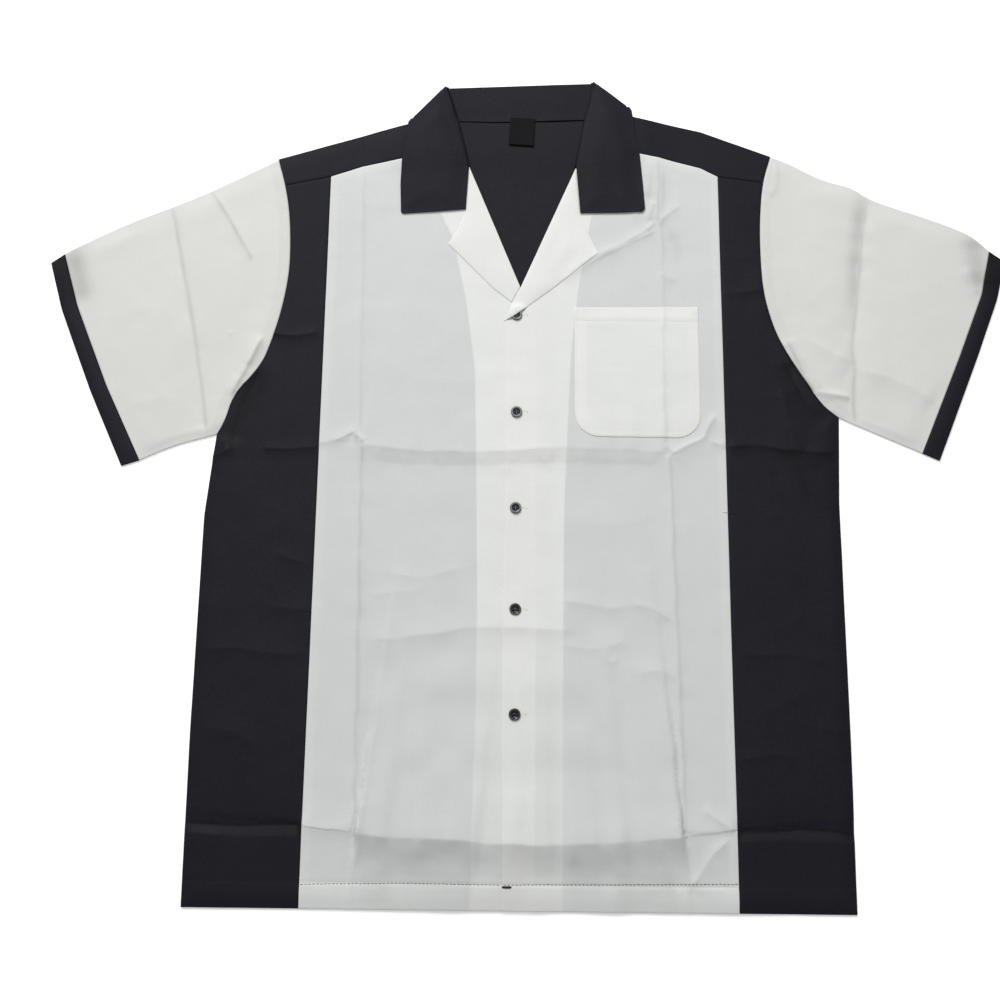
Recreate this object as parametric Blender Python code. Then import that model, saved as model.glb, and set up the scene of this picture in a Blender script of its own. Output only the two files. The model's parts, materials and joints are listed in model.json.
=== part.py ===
# Short-sleeved bowling shirt laid flat, front up: black back, sides, yokes, collar and
# sleeve bands; off-white fronts, lapels, sleeves and pocket; five black buttons.
# The tables are in millimetres on the shirt's own axes: x to the wearer's left, y up the
# shirt from the second button row, z up from the table. The scene is in metres.
import math

import bpy
from mathutils import Vector
from mathutils.geometry import delaunay_2d_cdt

MM = 0.001
MIDDLE = (4.4, 35.3)      # middle of the plan, taken off every point
CLOTH = 1.2               # wall of one cloth
GAP = 0.4                 # air between two cloths that lie on each other
SEAM = 0.35               # air between two cloths that are sewn edge to edge
STEP = CLOTH + GAP        # one layer up
HEM_Y = -391.4
HOLE_STEPS = 20           # steps round each armhole, shared by the body and the sleeve
PANEL_X = 205.0           # seam between a front and its side panel
BUTTON_X, BUTTON_TOP_Y, BUTTON_PITCH, BUTTON_COUNT = -6.0, 195.0, 101.6, 5
BUTTON_R, BUTTON_THICK, HOLE_R, HOLE_AT = 5.7, 1.8, 0.75, 1.45
UNDERLAP_X = 14.0         # edge of the under front
POCKET = dict(left=53.0, right=180.5, top=205.5, bottom=65.0, corner=25.0, wall=1.0)
LABEL = dict(x=-2.0, top=412.0, wide=26.0, tall=30.0, turn=-3.0, wall=1.0)
FALL_Y = 388.0            # lower edge of the collar's fall, under the back

# Every edge is a run of (x, y) points, from its first named end to its second.
SHOULDER = {              # armhole to neck point
    "right": [(-262, 368), (-155, 402), (-123.5, 411), (-88, 420)],
    "left": [(262, 377), (188, 405), (115, 422), (78, 430)],
}
YOKE_SEAM = {             # armhole to neck edge
    "right": [(-252.8, 338), (-205, 348), (-172, 360), (-133, 369), (-66, 385)],
    "left": [(252.2, 347), (205, 352.5), (187, 362), (143, 374), (61, 390)],
}
NECK_EDGE = {             # neck point to the top of the lapel's roll
    "right": [(-88, 420), (-72, 414), (-66, 385), (-59, 361)],
    "left": [(78, 430), (64.5, 417), (61, 390), (55, 361)],
}
ARMHOLE = {               # shoulder down to the armpit
    "right": [(-262, 368), (-252.8, 338), (-247, 308), (-244, 271), (-244, 236), (-250, 197), (-259, 162),
              (-268, 137), (-295, 105), (-301, 78), (-309, 64)],
    "left": [(262, 377), (252.2, 347), (248, 306), (247, 270), (248, 230), (253, 202), (261.5, 175),
             (272.6, 152), (284.6, 132), (303, 102), (321, 88.6)],
}
SIDE = {                  # armpit to hem
    "right": [(-309, 64), (-316.5, -20), (-316.5, -230), (-314.5, HEM_Y)],
    "left": [(321, 88.6), (317, 0), (316.5, -230), (314.5, HEM_Y)],
}
BACK_NECK = [(-88, 420), (-72, 414), (-30, 413.5), (20, 415), (64.5, 417), (78, 430)]
SLEEVE_TOP = {            # shoulder to band seam
    "right": [(-262, 368), (-331, 330.5), (-372, 312), (-419, 292), (-471, 264), (-480, 258)],
    "left": [(262, 377), (296.5, 361), (347, 343), (384, 322), (417, 311), (449, 299), (487, 272)],
}
SLEEVE_UNDER = {          # armpit to band seam
    "right": [(-309, 64), (-318, 61), (-351, 52), (-385, 36)],
    "left": [(321, 88.6), (337, 81), (369, 67), (403, 52)],
}
BAND_SEAM = {             # upper edge to under edge
    "right": [(-480, 258), (-462, 201), (-425, 115), (-385, 36)],
    "left": [(487, 272), (475, 222), (449, 158), (403, 52)],
}
BAND_EDGE = {
    "right": [(-493.5, 248), (-478, 197), (-441, 109), (-403, 30)],
    "left": [(502.3, 260.5), (491, 218), (467.5, 158), (420, 44.5)],
}
LEAF = {                  # outer edge's end at the fold, round the point, up the roll to the corner
    "right": [(-121, 412), (-130, 372), (-129, 306.5), (-61.6, 312), (-59, 361), (-72, 414)],
    "left": [(111, 428), (122, 379), (125.5, 310.5), (59, 308.7), (55, 361), (71.5, 442)],
}
COLLAR_CORNER = {"right": (-85.7, 454.4), "left": (75.6, 462.0)}
COLLAR_SIDE = {"right": (-123.6, 413.0), "left": (113.4, 429.0)}
LAPEL = {
    "right": [(-58.4, 360), (-4.6, 225), (-12.6, 208.5), (-80, 272), (-60.8, 311)],
    "left": [(54.4, 360), (-3, 225), (-20.5, 187), (-5, 204), (78, 264), (58.2, 307.6)],
}
V_BOTTOM, PLACKET_TOP, PLACKET_HEM_X = (-3, 225), (-20.5, 187), -16.0

WHITE, BLACK, GLOSS = (0.72, 0.72, 0.69), (0.022, 0.023, 0.03), (0.012, 0.013, 0.016)


def ramp(value, start, end):
    return min(1.0, max(0.0, (value - start) / (end - start)))


def lift(x, y):
    """How far the collar's fall, under the back, raises what lies over it."""
    return STEP * ramp(y, 350, 380) * ramp(-abs(x + 4), -164, -132)


def overlap(x, y):
    """How far the under front raises the upper one beside the placket."""
    return STEP * ramp(-x, -38, -16) * ramp(-y, -268, -228)


def on_back(x, y):
    return lift(x, y)


def on_side(x, y):
    return STEP + lift(x, y)


def on_left_front(x, y):
    return STEP + lift(x, y) + overlap(x, y)


def over_right(x, y):
    return on_side(x, y) + STEP


def over_left(x, y):
    return on_left_front(x, y) + STEP


def lapel_left_under(x, y):
    reach = math.hypot(x - BUTTON_X, y - BUTTON_TOP_Y)
    return over_left(x, y) + (BUTTON_THICK + GAP) * ramp(-reach, -30, -9)


def material(name, colour, rough):
    made = bpy.data.materials.new(name)
    made.use_nodes = True
    shader = made.node_tree.nodes["Principled BSDF"]
    shader.inputs["Base Color"].default_value = (*colour, 1)
    shader.inputs["Roughness"].default_value = rough
    made.diffuse_color = (*colour, 1)
    return made


def build(name, points, faces, colour, rough=0.85):
    """One object from points in millimetres."""
    mesh = bpy.data.meshes.new(name)
    mesh.from_pydata([((x - MIDDLE[0]) * MM, (y - MIDDLE[1]) * MM, z * MM) for x, y, z in points], [], faces)
    mesh.materials.append(material(name + " surface", colour, rough))
    made = bpy.data.objects.new(name, mesh)
    bpy.context.scene.collection.objects.link(made)
    return made


def divide(run, most):
    """The run with points added so that no side is longer than most."""
    out = []
    for a, b in zip(run, run[1:]):
        parts = max(1, math.ceil(math.dist(a, b) / most))
        out += [(a[0] + (b[0] - a[0]) * i / parts, a[1] + (b[1] - a[1]) * i / parts) for i in range(parts)]
    return out + [tuple(run[-1])]


def inside(x, y, ring):
    hit = False
    for (ax, ay), (bx, by) in zip(ring, ring[1:] + ring[:1]):
        if (ay > y) != (by > y) and x < ax + (y - ay) * (bx - ax) / (by - ay):
            hit = not hit
    return hit


def off_edge(x, y, ring):
    best = 1e9
    for (ax, ay), (bx, by) in zip(ring, ring[1:] + ring[:1]):
        dx, dy = bx - ax, by - ay
        t = max(0, min(1, ((x - ax) * dx + (y - ay) * dy) / (dx * dx + dy * dy)))
        best = min(best, math.hypot(x - ax - t * dx, y - ay - t * dy))
    return best


def fill(ring, spacing, most=None, extra=(), holes=()):
    """Triangles over a plan ring, with points inside it about spacing apart."""
    ring = divide(ring + ring[:1], most or spacing)[:-1]
    area = sum(a[0] * b[1] - b[0] * a[1] for a, b in zip(ring, ring[1:] + ring[:1]))
    ring = ring if area > 0 else ring[::-1]
    xs, ys = [p[0] for p in ring], [p[1] for p in ring]
    inner = [p for p in extra if inside(*p, ring)]
    row = 0
    y = math.ceil(min(ys) / spacing) * spacing
    while y < max(ys):
        x = math.floor(min(xs) / spacing) * spacing + (spacing / 2 if round(y / spacing) % 2 else 0)
        while x < max(xs):
            if inside(x, y, ring) and off_edge(x, y, ring) > 0.4 * spacing \
                    and all(math.dist((x, y), p) > 0.5 * spacing for p in extra):
                inner.append((x, y))
            x += spacing
        y += spacing
        row += 1
    points, edges = list(ring), []
    for hole in holes:
        first = len(points)
        points += hole
        edges += [(first + i, first + (i + 1) % len(hole)) for i in range(len(hole))]
    points += [p for p in inner if not any(inside(*p, hole) for hole in holes)]
    verts, _, faces, *_ = delaunay_2d_cdt(
        [Vector(p) for p in points], edges, [list(range(len(ring)))], 1, 1e-5)
    kept = []
    for face in faces:
        x = sum(verts[i].x for i in face) / 3
        y = sum(verts[i].y for i in face) / 3
        if not any(inside(x, y, hole) for hole in holes):
            kept.append(tuple(face))
    return [(v.x, v.y) for v in verts], kept


def sheet(name, ring, under, wall, colour, spacing=42.0, extra=(), holes=(), over=None, rough=0.85, most=None):
    """A flat cloth: its plan ring, the height of its underside, and its wall."""
    plan, faces = fill(ring, spacing, most, extra, holes)
    count = len(plan)
    points = [(x, y, under(x, y)) for x, y in plan]
    points += [(x, y, over(x, y) if over else under(x, y) + wall) for x, y in plan]
    used = {}
    for face in faces:
        for a, b in zip(face, face[1:] + face[:1]):
            used[a, b] = True
    walls = [(a, b, b + count, a + count) for a, b in used if (b, a) not in used]
    skin = [tuple(reversed(face)) for face in faces] + [tuple(i + count for i in face) for face in faces]
    return build(name, points, skin + walls, colour, rough)


def along(run, share):
    """The point at this share of the run's length."""
    lengths = [math.dist(a, b) for a, b in zip(run, run[1:])]
    left = share * sum(lengths)
    for (a, b), length in zip(zip(run, run[1:]), lengths):
        if left <= length or (a, b) == (run[-2], run[-1]):
            t = left / length
            return (a[0] + (b[0] - a[0]) * t, a[1] + (b[1] - a[1]) * t)
        left -= length


def patch(top, under, inner, outer, v, w):
    """A point of the plan between four edges: v from top to under, w from inner to outer."""
    a, b, c, d = along(top, w), along(under, w), along(inner, v), along(outer, v)
    corners = (inner[0], inner[-1], outer[0], outer[-1])
    return tuple(
        (1 - v) * a[k] + v * b[k] + (1 - w) * c[k] + w * d[k]
        - ((1 - v) * (1 - w) * corners[0][k] + v * (1 - w) * corners[1][k]
           + (1 - v) * w * corners[2][k] + v * w * corners[3][k])
        for k in (0, 1))


def tube(name, top, under, inner, outer, across, length, colour, swell=0.0):
    """A flattened tube of cloth between two open ends, folded along top and under."""
    low, high = CLOTH / 2, CLOTH / 2 + STEP
    radius, middle, turns = (high - low) / 2, (high + low) / 2, 4
    inset = radius + CLOTH / 2
    outer_skin, inner_skin = [], []
    around = 2 * (across + 1) + 2 * (turns - 1)
    for j in range(length + 1):
        w = j / length
        for i in range(around):
            if i <= across:
                v, angle = i / across, None
                normal_z, level = 1, high
            elif i < across + turns:
                v, angle = 1.0, math.pi / 2 - math.pi * (i - across) / turns
            elif i <= 2 * across + turns:
                v, angle = 1 - (i - across - turns) / across, None
                normal_z, level = -1, low
            else:
                v, angle = 0.0, -math.pi / 2 + math.pi * (i - 2 * across - turns) / turns
            span = math.dist(patch(top, under, inner, outer, 0, w), patch(top, under, inner, outer, 1, w))
            reach = math.dist(patch(top, under, inner, outer, v, 0), patch(top, under, inner, outer, v, 1))
            vv = min(max(v, inset / span), 1 - inset / span)
            clear_of = SEAM if 0 < v < 1 else 4 * SEAM
            ww = (clear_of + w * (reach - SEAM - clear_of)) / reach
            x, y = patch(top, under, inner, outer, vv, ww)
            if angle is None:
                bulge = swell * math.sin(math.pi * w) * math.sin(math.pi * v) if normal_z > 0 else 0
                for skin, side in ((outer_skin, 1), (inner_skin, -1)):
                    skin.append((x, y, level + bulge + side * normal_z * CLOTH / 2))
                continue
            ox, oy = patch(top, under, inner, outer, 1.0 - inset / span if v else inset / span, ww)
            px, py = patch(top, under, inner, outer, 0.5, ww)
            far = math.dist((ox, oy), (px, py))
            dx, dy = (ox - px) / far, (oy - py) / far
            for skin, side in ((outer_skin, 1), (inner_skin, -1)):
                reach_out = (radius + side * CLOTH / 2) * math.cos(angle)
                skin.append((ox + dx * reach_out, oy + dy * reach_out,
                             middle + (radius + side * CLOTH / 2) * math.sin(angle)))
    points, total = outer_skin + inner_skin, len(outer_skin)
    faces = []
    for j in range(length):
        for i in range(around):
            a, b = j * around + i, j * around + (i + 1) % around
            c, d = b + around, a + around
            faces.append((a, b, c, d))
            faces.append((total + d, total + c, total + b, total + a))
    for i in range(around):
        a, b = i, (i + 1) % around
        faces.append((b, a, total + a, total + b))
        a, b = length * around + i, length * around + (i + 1) % around
        faces.append((a, b, total + b, total + a))
    made = build(name, points, faces, colour)
    if sum_volume(points, faces) < 0:
        made.data.flip_normals()
    return made


def sum_volume(points, faces):
    total = 0.0
    for face in faces:
        for i in range(1, len(face) - 1):
            a, b, c = (Vector(points[k]) for k in (face[0], face[i], face[i + 1]))
            total += a.dot(b.cross(c))
    return total


def hole(side):
    """The armhole in even steps. The yoke's seam meets it two steps down."""
    return [along(ARMHOLE[side], i / HOLE_STEPS) for i in range(HOLE_STEPS + 1)]


def clear():
    for old in list(bpy.data.objects):
        bpy.data.objects.remove(old)


def shrink(ring, by):
    """The ring moved in by a seam's share, corner by corner."""
    area = sum(a[0] * b[1] - b[0] * a[1] for a, b in zip(ring, ring[1:] + ring[:1]))
    turn = 1 if area > 0 else -1
    out = []
    for before, at, after in zip(ring[-1:] + ring[:-1], ring, ring[1:] + ring[:1]):
        one = Vector((at[0] - before[0], at[1] - before[1])).normalized()
        two = Vector((after[0] - at[0], after[1] - at[1])).normalized()
        n1, n2 = Vector((-one.y, one.x)) * turn, Vector((-two.y, two.x)) * turn
        mid = (n1 + n2).normalized()
        move = mid * by / max(0.35, mid.dot(n1))
        out.append((at[0] + move.x, at[1] + move.y))
    return out


def collar():
    """Leaves on the fronts, fall under the back and stand inside the neck, folded from one cloth."""
    low = CLOTH / 2
    stand = CLOTH / 2 + STEP
    leaf = lambda x, y: over_right(x, y) + CLOTH / 2
    points, faces = [], []

    def add(plan, tris, level, flip=False):
        first = len(points)
        points.extend((x, y, level(x, y)) for x, y in plan)
        faces.extend(tuple(first + i for i in (reversed(t) if flip else t)) for t in tris)

    def fold(start, end, out, under, over, parts, turns):
        """A half round between two levels along a straight line."""
        first = len(points)
        radius, middle = (over - under) / 2, (over + under) / 2
        for i in range(parts + 1):
            x, y = (start[k] + (end[k] - start[k]) * i / parts for k in (0, 1))
            for j in range(turns + 1):
                angle = -math.pi / 2 + math.pi * j / turns
                points.append((x + out[0] * radius * math.cos(angle), y + out[1] * radius * math.cos(angle),
                               middle + radius * math.sin(angle)))
        for i in range(parts):
            for j in range(turns):
                a = first + i * (turns + 1) + j
                b = a + turns + 1
                faces.append((a, b, b + 1, a + 1))

    right, left = COLLAR_CORNER["right"], COLLAR_CORNER["left"]
    across = Vector((left[0] - right[0], left[1] - right[1])).normalized()
    up = Vector((-across.y, across.x))
    inset = STEP / 2 + CLOTH / 2
    top = [tuple(Vector(p) - up * inset + across * s * 5.0) for p, s in ((right, 1), (left, -1))]
    folds = {}
    for side, sign in (("right", -1), ("left", 1)):
        a, b = Vector(COLLAR_CORNER[side]), Vector(COLLAR_SIDE[side])
        down = (b - a).normalized()
        out = Vector((down.y, -down.x)) * (1 if side == "right" else -1)
        out = out if out.x * sign > 0 else -out
        high = 3 * STEP + CLOTH / 2
        pull = (high - low) / 2 + CLOTH / 2
        folds[side] = [tuple(a - out * pull + down * 6.0), tuple(b - out * pull - down * 1.0), tuple(out), high]
    # The fall under the back, with the three folds on its sides.
    ring = [folds["right"][1], folds["right"][0], top[0], top[1], folds["left"][0], folds["left"][1],
            (100, FALL_Y), (-108, FALL_Y)]
    parts = 6
    plan, tris = fill(ring, 30.0, most=30.0)
    add(plan, tris, lambda x, y: low, flip=True)
    plan, tris = fill([top[0], top[1], (64.5, 417.4), (20, 415.4), (-30, 413.9), (-72, 414.4)], 30.0, most=30.0)
    add(plan, tris, lambda x, y: stand)
    span = math.ceil(math.dist(*top) / 30.0)
    fold(top[1], top[0], tuple(up), low, stand, span, 4)
    for side in ("right", "left"):
        start, end, out, high = folds[side]
        ring = [start, end] + LEAF[side]
        plan, tris = fill(ring, 22.0, most=30.0)
        add(plan, tris, leaf)
        span = max(1, math.ceil(math.dist(start, end) / 30.0))
        if side == "right":
            fold(start, end, out, low, high, span, 5)
        else:
            fold(end, start, out, low, high, span, 5)
    made = build("collar", points, faces, BLACK)
    weld = made.modifiers.new("join", "WELD")
    weld.merge_threshold = 0.00002
    thick = made.modifiers.new("wall", "SOLIDIFY")
    thick.thickness, thick.offset, thick.use_even_offset = CLOTH * MM, 0.0, True
    return made


clear()

# ---- Body, from the table up -------------------------------------------------------------
neck_points = [(x, y) for y in (350, 365, 380, 396) for x in (-164, -148, -132, -100, -66, -33, 0, 33, 66, 94, 124, 140, 156)]
back_ring = (SHOULDER["right"][::-1] + hole("right")[1:] + SIDE["right"][1:]
             + SIDE["left"][::-1] + hole("left")[::-1][1:] + SHOULDER["left"][1:] + BACK_NECK[::-1][1:-1])
back = sheet("back", shrink(back_ring, SEAM / 2), on_back, CLOTH, BLACK, extra=neck_points)

for side, sign in (("right", -1), ("left", 1)):
    panel = [(sign * PANEL_X, HEM_Y), (sign * PANEL_X, YOKE_SEAM[side][1][1])] + hole(side)[2:] + SIDE[side][1:]
    sheet("side_" + side, shrink(panel, SEAM / 2), on_side, CLOTH, BLACK)
    yoke = SHOULDER[side] + NECK_EDGE[side][1:3] + YOKE_SEAM[side][::-1][1:-1] + hole(side)[2:0:-1]
    sheet("yoke_" + side, shrink(yoke, SEAM / 2), on_side, CLOTH, BLACK, spacing=24.0,
          extra=[p for p in neck_points if p[1] > 360])

right_ring = YOKE_SEAM["right"][1:] + [(-59, 361), (UNDERLAP_X, 184), (UNDERLAP_X, HEM_Y), (-PANEL_X, HEM_Y)]
sheet("front_right", shrink(right_ring, SEAM / 2), on_side, CLOTH, WHITE, extra=neck_points)

ramp_points = [(x, y) for x in (16, 27, 38) for y in range(-360, 300, 22)]
left_ring = (YOKE_SEAM["left"][1:] + [(55, 361), V_BOTTOM, PLACKET_TOP, (PLACKET_HEM_X, HEM_Y), (PANEL_X, HEM_Y)])
sheet("front_left", shrink(left_ring, SEAM / 2), on_left_front, CLOTH, WHITE, spacing=36.0,
      extra=neck_points + ramp_points)

# ---- Lapels, pocket and label -------------------------------------------------------------
sheet("lapel_right", LAPEL["right"], over_right, CLOTH, WHITE, spacing=22.0)
around_button = [(BUTTON_X + r * math.cos(a * math.pi / 6), BUTTON_TOP_Y + r * math.sin(a * math.pi / 6))
                 for r in (9, 19, 30) for a in range(12)]
sheet("lapel_left", LAPEL["left"], lapel_left_under, CLOTH, WHITE, spacing=14.0, extra=around_button, most=8.0)

box = POCKET
pocket_ring = [(box["left"], box["top"]), (box["right"], box["top"] - 2)]
for cx, start in ((box["right"] - box["corner"], 0), (box["left"] + box["corner"], -90)):
    pocket_ring += [(cx + box["corner"] * math.cos(math.radians(start - a)),
                     box["bottom"] + box["corner"] + box["corner"] * math.sin(math.radians(start - a)))
                    for a in (0, 22.5, 45, 67.5, 90)]
sheet("pocket", pocket_ring, over_left, box["wall"], WHITE, spacing=36.0)

turn = math.radians(LABEL["turn"])
label_ring = []
for u, v in ((-0.5, 0), (-0.5, -1), (0.5, -1), (0.5, 0)):
    u, v = u * LABEL["wide"], v * LABEL["tall"]
    label_ring.append((LABEL["x"] + u * math.cos(turn) - v * math.sin(turn),
                       LABEL["top"] + u * math.sin(turn) + v * math.cos(turn)))
sheet("neck_label", label_ring, lambda x, y: on_back(x, y) + CLOTH + GAP, LABEL["wall"], BLACK, spacing=15.0)

# ---- Sleeves and their bands --------------------------------------------------------------
for side in ("right", "left"):
    tube("sleeve_" + side, SLEEVE_TOP[side], SLEEVE_UNDER[side], ARMHOLE[side], BAND_SEAM[side], HOLE_STEPS, 6, WHITE, swell=3.0)
    tube("band_" + side, [SLEEVE_TOP[side][-1], BAND_EDGE[side][0]], [SLEEVE_UNDER[side][-1], BAND_EDGE[side][-1]],
         BAND_SEAM[side], BAND_EDGE[side], HOLE_STEPS, 1, BLACK)

collar()

# ---- Buttons ------------------------------------------------------------------------------
for n in range(BUTTON_COUNT):
    cx, cy = BUTTON_X, BUTTON_TOP_Y - n * BUTTON_PITCH
    ring = [(cx + BUTTON_R * math.cos(a * math.pi / 12), cy + BUTTON_R * math.sin(a * math.pi / 12)) for a in range(24)]
    steps = [(cx + r * math.cos(a * math.pi / 8), cy + r * math.sin(a * math.pi / 8))
             for r in (5.0, 3.9, 3.1) for a in range(16)]
    holes = [[(cx + sx * HOLE_AT + HOLE_R * math.cos(a * math.pi / 4), cy + sy * HOLE_AT + HOLE_R * math.sin(a * math.pi / 4))
              for a in range(8)] for sx in (-1, 1) for sy in (-1, 1)]
    base = over_left(cx, cy)
    crown = lambda x, y: base + BUTTON_THICK - 0.5 * ramp(-math.hypot(x - cx, y - cy), -3.9, -3.1) \
        - 0.6 * ramp(math.hypot(x - cx, y - cy), 5.0, 5.7)
    sheet("button_%d" % (n + 1), ring, lambda x, y: base, 0, GLOSS, spacing=40.0, extra=steps, holes=holes,
          over=crown, rough=0.25, most=3.0)
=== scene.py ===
# %% [markdown]
# # A two-tone bowling shirt, laid flat
# A camp-collar shirt lies on its back on a table, buttoned, with its sleeves out.
# This lesson builds it the way a maker would: the cut pieces first, as outlines in
# millimetres, then cloth shells over those outlines with the creases of the packet
# pressed into them, then buttons, stitches and light.

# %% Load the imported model, which fixes every place and size
import json
import math

import bpy
import numpy as np
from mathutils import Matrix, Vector, kdtree
from mathutils.geometry import delaunay_2d_cdt


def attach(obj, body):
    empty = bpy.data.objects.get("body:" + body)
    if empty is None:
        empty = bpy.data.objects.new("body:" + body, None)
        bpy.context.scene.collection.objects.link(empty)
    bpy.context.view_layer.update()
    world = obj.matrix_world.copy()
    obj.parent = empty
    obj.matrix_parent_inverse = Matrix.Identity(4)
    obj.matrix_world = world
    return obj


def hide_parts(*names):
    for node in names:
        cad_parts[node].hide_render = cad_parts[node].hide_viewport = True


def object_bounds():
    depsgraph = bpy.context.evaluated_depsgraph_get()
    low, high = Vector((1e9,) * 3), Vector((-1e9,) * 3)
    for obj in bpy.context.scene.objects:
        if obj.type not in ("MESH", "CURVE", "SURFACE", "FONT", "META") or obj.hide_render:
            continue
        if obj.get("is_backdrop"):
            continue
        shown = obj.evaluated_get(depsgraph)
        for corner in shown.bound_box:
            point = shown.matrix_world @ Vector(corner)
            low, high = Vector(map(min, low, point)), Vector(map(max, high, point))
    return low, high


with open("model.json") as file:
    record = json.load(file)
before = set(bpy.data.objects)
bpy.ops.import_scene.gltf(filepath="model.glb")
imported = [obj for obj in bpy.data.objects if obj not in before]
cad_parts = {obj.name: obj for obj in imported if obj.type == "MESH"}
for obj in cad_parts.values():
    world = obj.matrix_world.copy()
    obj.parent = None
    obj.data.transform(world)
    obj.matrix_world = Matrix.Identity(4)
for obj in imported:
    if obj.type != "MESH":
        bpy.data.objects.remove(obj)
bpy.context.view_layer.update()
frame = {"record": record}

# %% [markdown]
# ## The cut
# Every piece of a shirt is flat before it is sewn, so a piece is known by its outline.
# The outlines share their seams: the armhole that the body ends on is the armhole that
# the sleeve starts on. So the edges are named once, as short runs of points, and each
# piece is put together from them. x runs to the wearer's left and y up the shirt.

# %% Sizes in millimetres
MM = 0.001
MIDDLE = np.array([4.4, 35.3])    # middle of the laid-out shirt, which is the model's origin
WALL = 0.6                        # one cloth with its turnings
LAYER = 2.2                       # underside of the front layer above the table
STEP = 0.9                        # one layer further up
SPACE = 0.45                      # air between the front layer and the back
HEM_Y, HEM_DEEP = -391.4, 23.5
HEM_LINE = HEM_Y + HEM_DEEP       # where the turned-up hem is stitched
PANEL_X = 205.0
BUTTON_X, BUTTON_TOP_Y = -6.0, 195.0
UNDERLAP_X = 14.0
SIDES = (("right", -1), ("left", 1))    # the wearer's sides, and the sign of x there

SHOULDER = {
    "right": [(-262, 368), (-155, 402), (-123.5, 411), (-88, 420)],
    "left": [(262, 377), (188, 405), (115, 422), (78, 430)],
}
YOKE_SEAM = {
    "right": [(-252.8, 338), (-205, 348), (-172, 360), (-133, 369), (-66, 385)],
    "left": [(252.2, 347), (205, 352.5), (187, 362), (143, 374), (61, 390)],
}
NECK_EDGE = {
    "right": [(-88, 420), (-72, 414), (-66, 385), (-59, 361)],
    "left": [(78, 430), (64.5, 417), (61, 390), (55, 361)],
}
ARMHOLE = {
    "right": [(-262, 368), (-252.8, 338), (-247, 308), (-244, 271), (-244, 236), (-250, 197),
              (-259, 162), (-268, 137), (-295, 105), (-301, 78), (-309, 64)],
    "left": [(262, 377), (252.2, 347), (248, 306), (247, 270), (248, 230), (253, 202), (261.5, 175),
             (272.6, 152), (284.6, 132), (303, 102), (321, 88.6)],
}
SIDE = {
    "right": [(-309, 64), (-316.5, -20), (-316.5, -230), (-314.5, HEM_Y)],
    "left": [(321, 88.6), (317, 0), (316.5, -230), (314.5, HEM_Y)],
}
BACK_NECK = [(-88, 420), (-72, 414), (-30, 413.5), (20, 415), (64.5, 417), (78, 430)]
SLEEVE_TOP = {
    "right": [(-262, 368), (-331, 330.5), (-372, 312), (-419, 292), (-471, 264), (-480, 258)],
    "left": [(262, 377), (277, 372), (296.5, 361), (319, 349.5), (347, 343), (362, 331), (384, 322),
             (417, 311), (449, 299), (470, 289), (487, 272)],
}
SLEEVE_UNDER = {
    "right": [(-309, 64), (-318, 61), (-351, 52), (-385, 36)],
    "left": [(321, 88.6), (337, 81), (369, 67), (403, 52)],
}
BAND_SEAM = {
    "right": [(-480, 258), (-462, 201), (-425, 115), (-385, 36)],
    "left": [(487, 272), (475, 222), (449, 158), (403, 52)],
}
BAND_EDGE = {
    "right": [(-493.5, 248), (-478, 197), (-441, 109), (-403, 30)],
    "left": [(502.3, 260.5), (491, 218), (467.5, 158), (420, 44.5)],
}
print("half chest", 321 + 309, "mm, hem to neck", round(430 - HEM_Y), "mm")

# %% [markdown]
# ## Helpers for plan outlines
# Three small tools do most of the geometry: walk along a run of points, test what lies
# inside a ring, and measure how far a point is from a run. The last one also says which
# side of the run a point is on, which is what a crease needs.

# %% Walking along a run and offsetting a ring
def along(run, share):
    """The point at this share of the run's length."""
    run = np.asarray(run, float)
    reach = np.concatenate([[0], np.cumsum(np.linalg.norm(np.diff(run, axis=0), axis=1))])
    at = np.asarray(share) * reach[-1]
    return np.stack([np.interp(at, reach, run[:, 0]), np.interp(at, reach, run[:, 1])], axis=-1)


def length_of(run):
    return float(np.linalg.norm(np.diff(np.asarray(run, float), axis=0), axis=1).sum())


def soft(run, pitch=6.0, rounds=2):
    """The run through the same points with its corners eased, at an even pitch."""
    run = np.asarray(run, float)
    for _ in range(rounds):
        cut = np.empty((2 * len(run) - 2, 2))
        cut[0::2] = 0.75 * run[:-1] + 0.25 * run[1:]
        cut[1::2] = 0.25 * run[:-1] + 0.75 * run[1:]
        run = np.vstack([run[:1], cut[1:-1], run[-1:]])
    return along(run, np.linspace(0, 1, max(2, round(length_of(run) / pitch) + 1)))


def tight(run, pitch=4.0, by=7.0):
    """The same as soft, with corners that are kept to a few millimetres."""
    run = np.asarray(run, float)
    out = [run[0]]
    for a, b, c in zip(run, run[1:], run[2:]):
        out += [b + (a - b) * min(0.4, by / np.linalg.norm(a - b)), b,
                b + (c - b) * min(0.4, by / np.linalg.norm(c - b))]
    return soft(np.array(out + [run[-1]]), pitch)


def ring_of(*runs):
    """Runs joined end to end as one closed ring, counter-clockwise."""
    points = []
    for run in runs:
        for p in np.asarray(run, float):
            if not points or np.linalg.norm(p - points[-1]) > 0.05:
                points.append(p)
    if np.linalg.norm(points[0] - points[-1]) < 0.05:
        points.pop()
    ring = np.array(points)
    nxt = np.roll(ring, -1, axis=0)
    area = (ring[:, 0] * nxt[:, 1] - nxt[:, 0] * ring[:, 1]).sum() / 2
    return ring if area > 0 else ring[::-1].copy()


def area_of(ring):
    nxt = np.roll(ring, -1, axis=0)
    return abs(float((ring[:, 0] * nxt[:, 1] - nxt[:, 0] * ring[:, 1]).sum() / 2))


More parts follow.
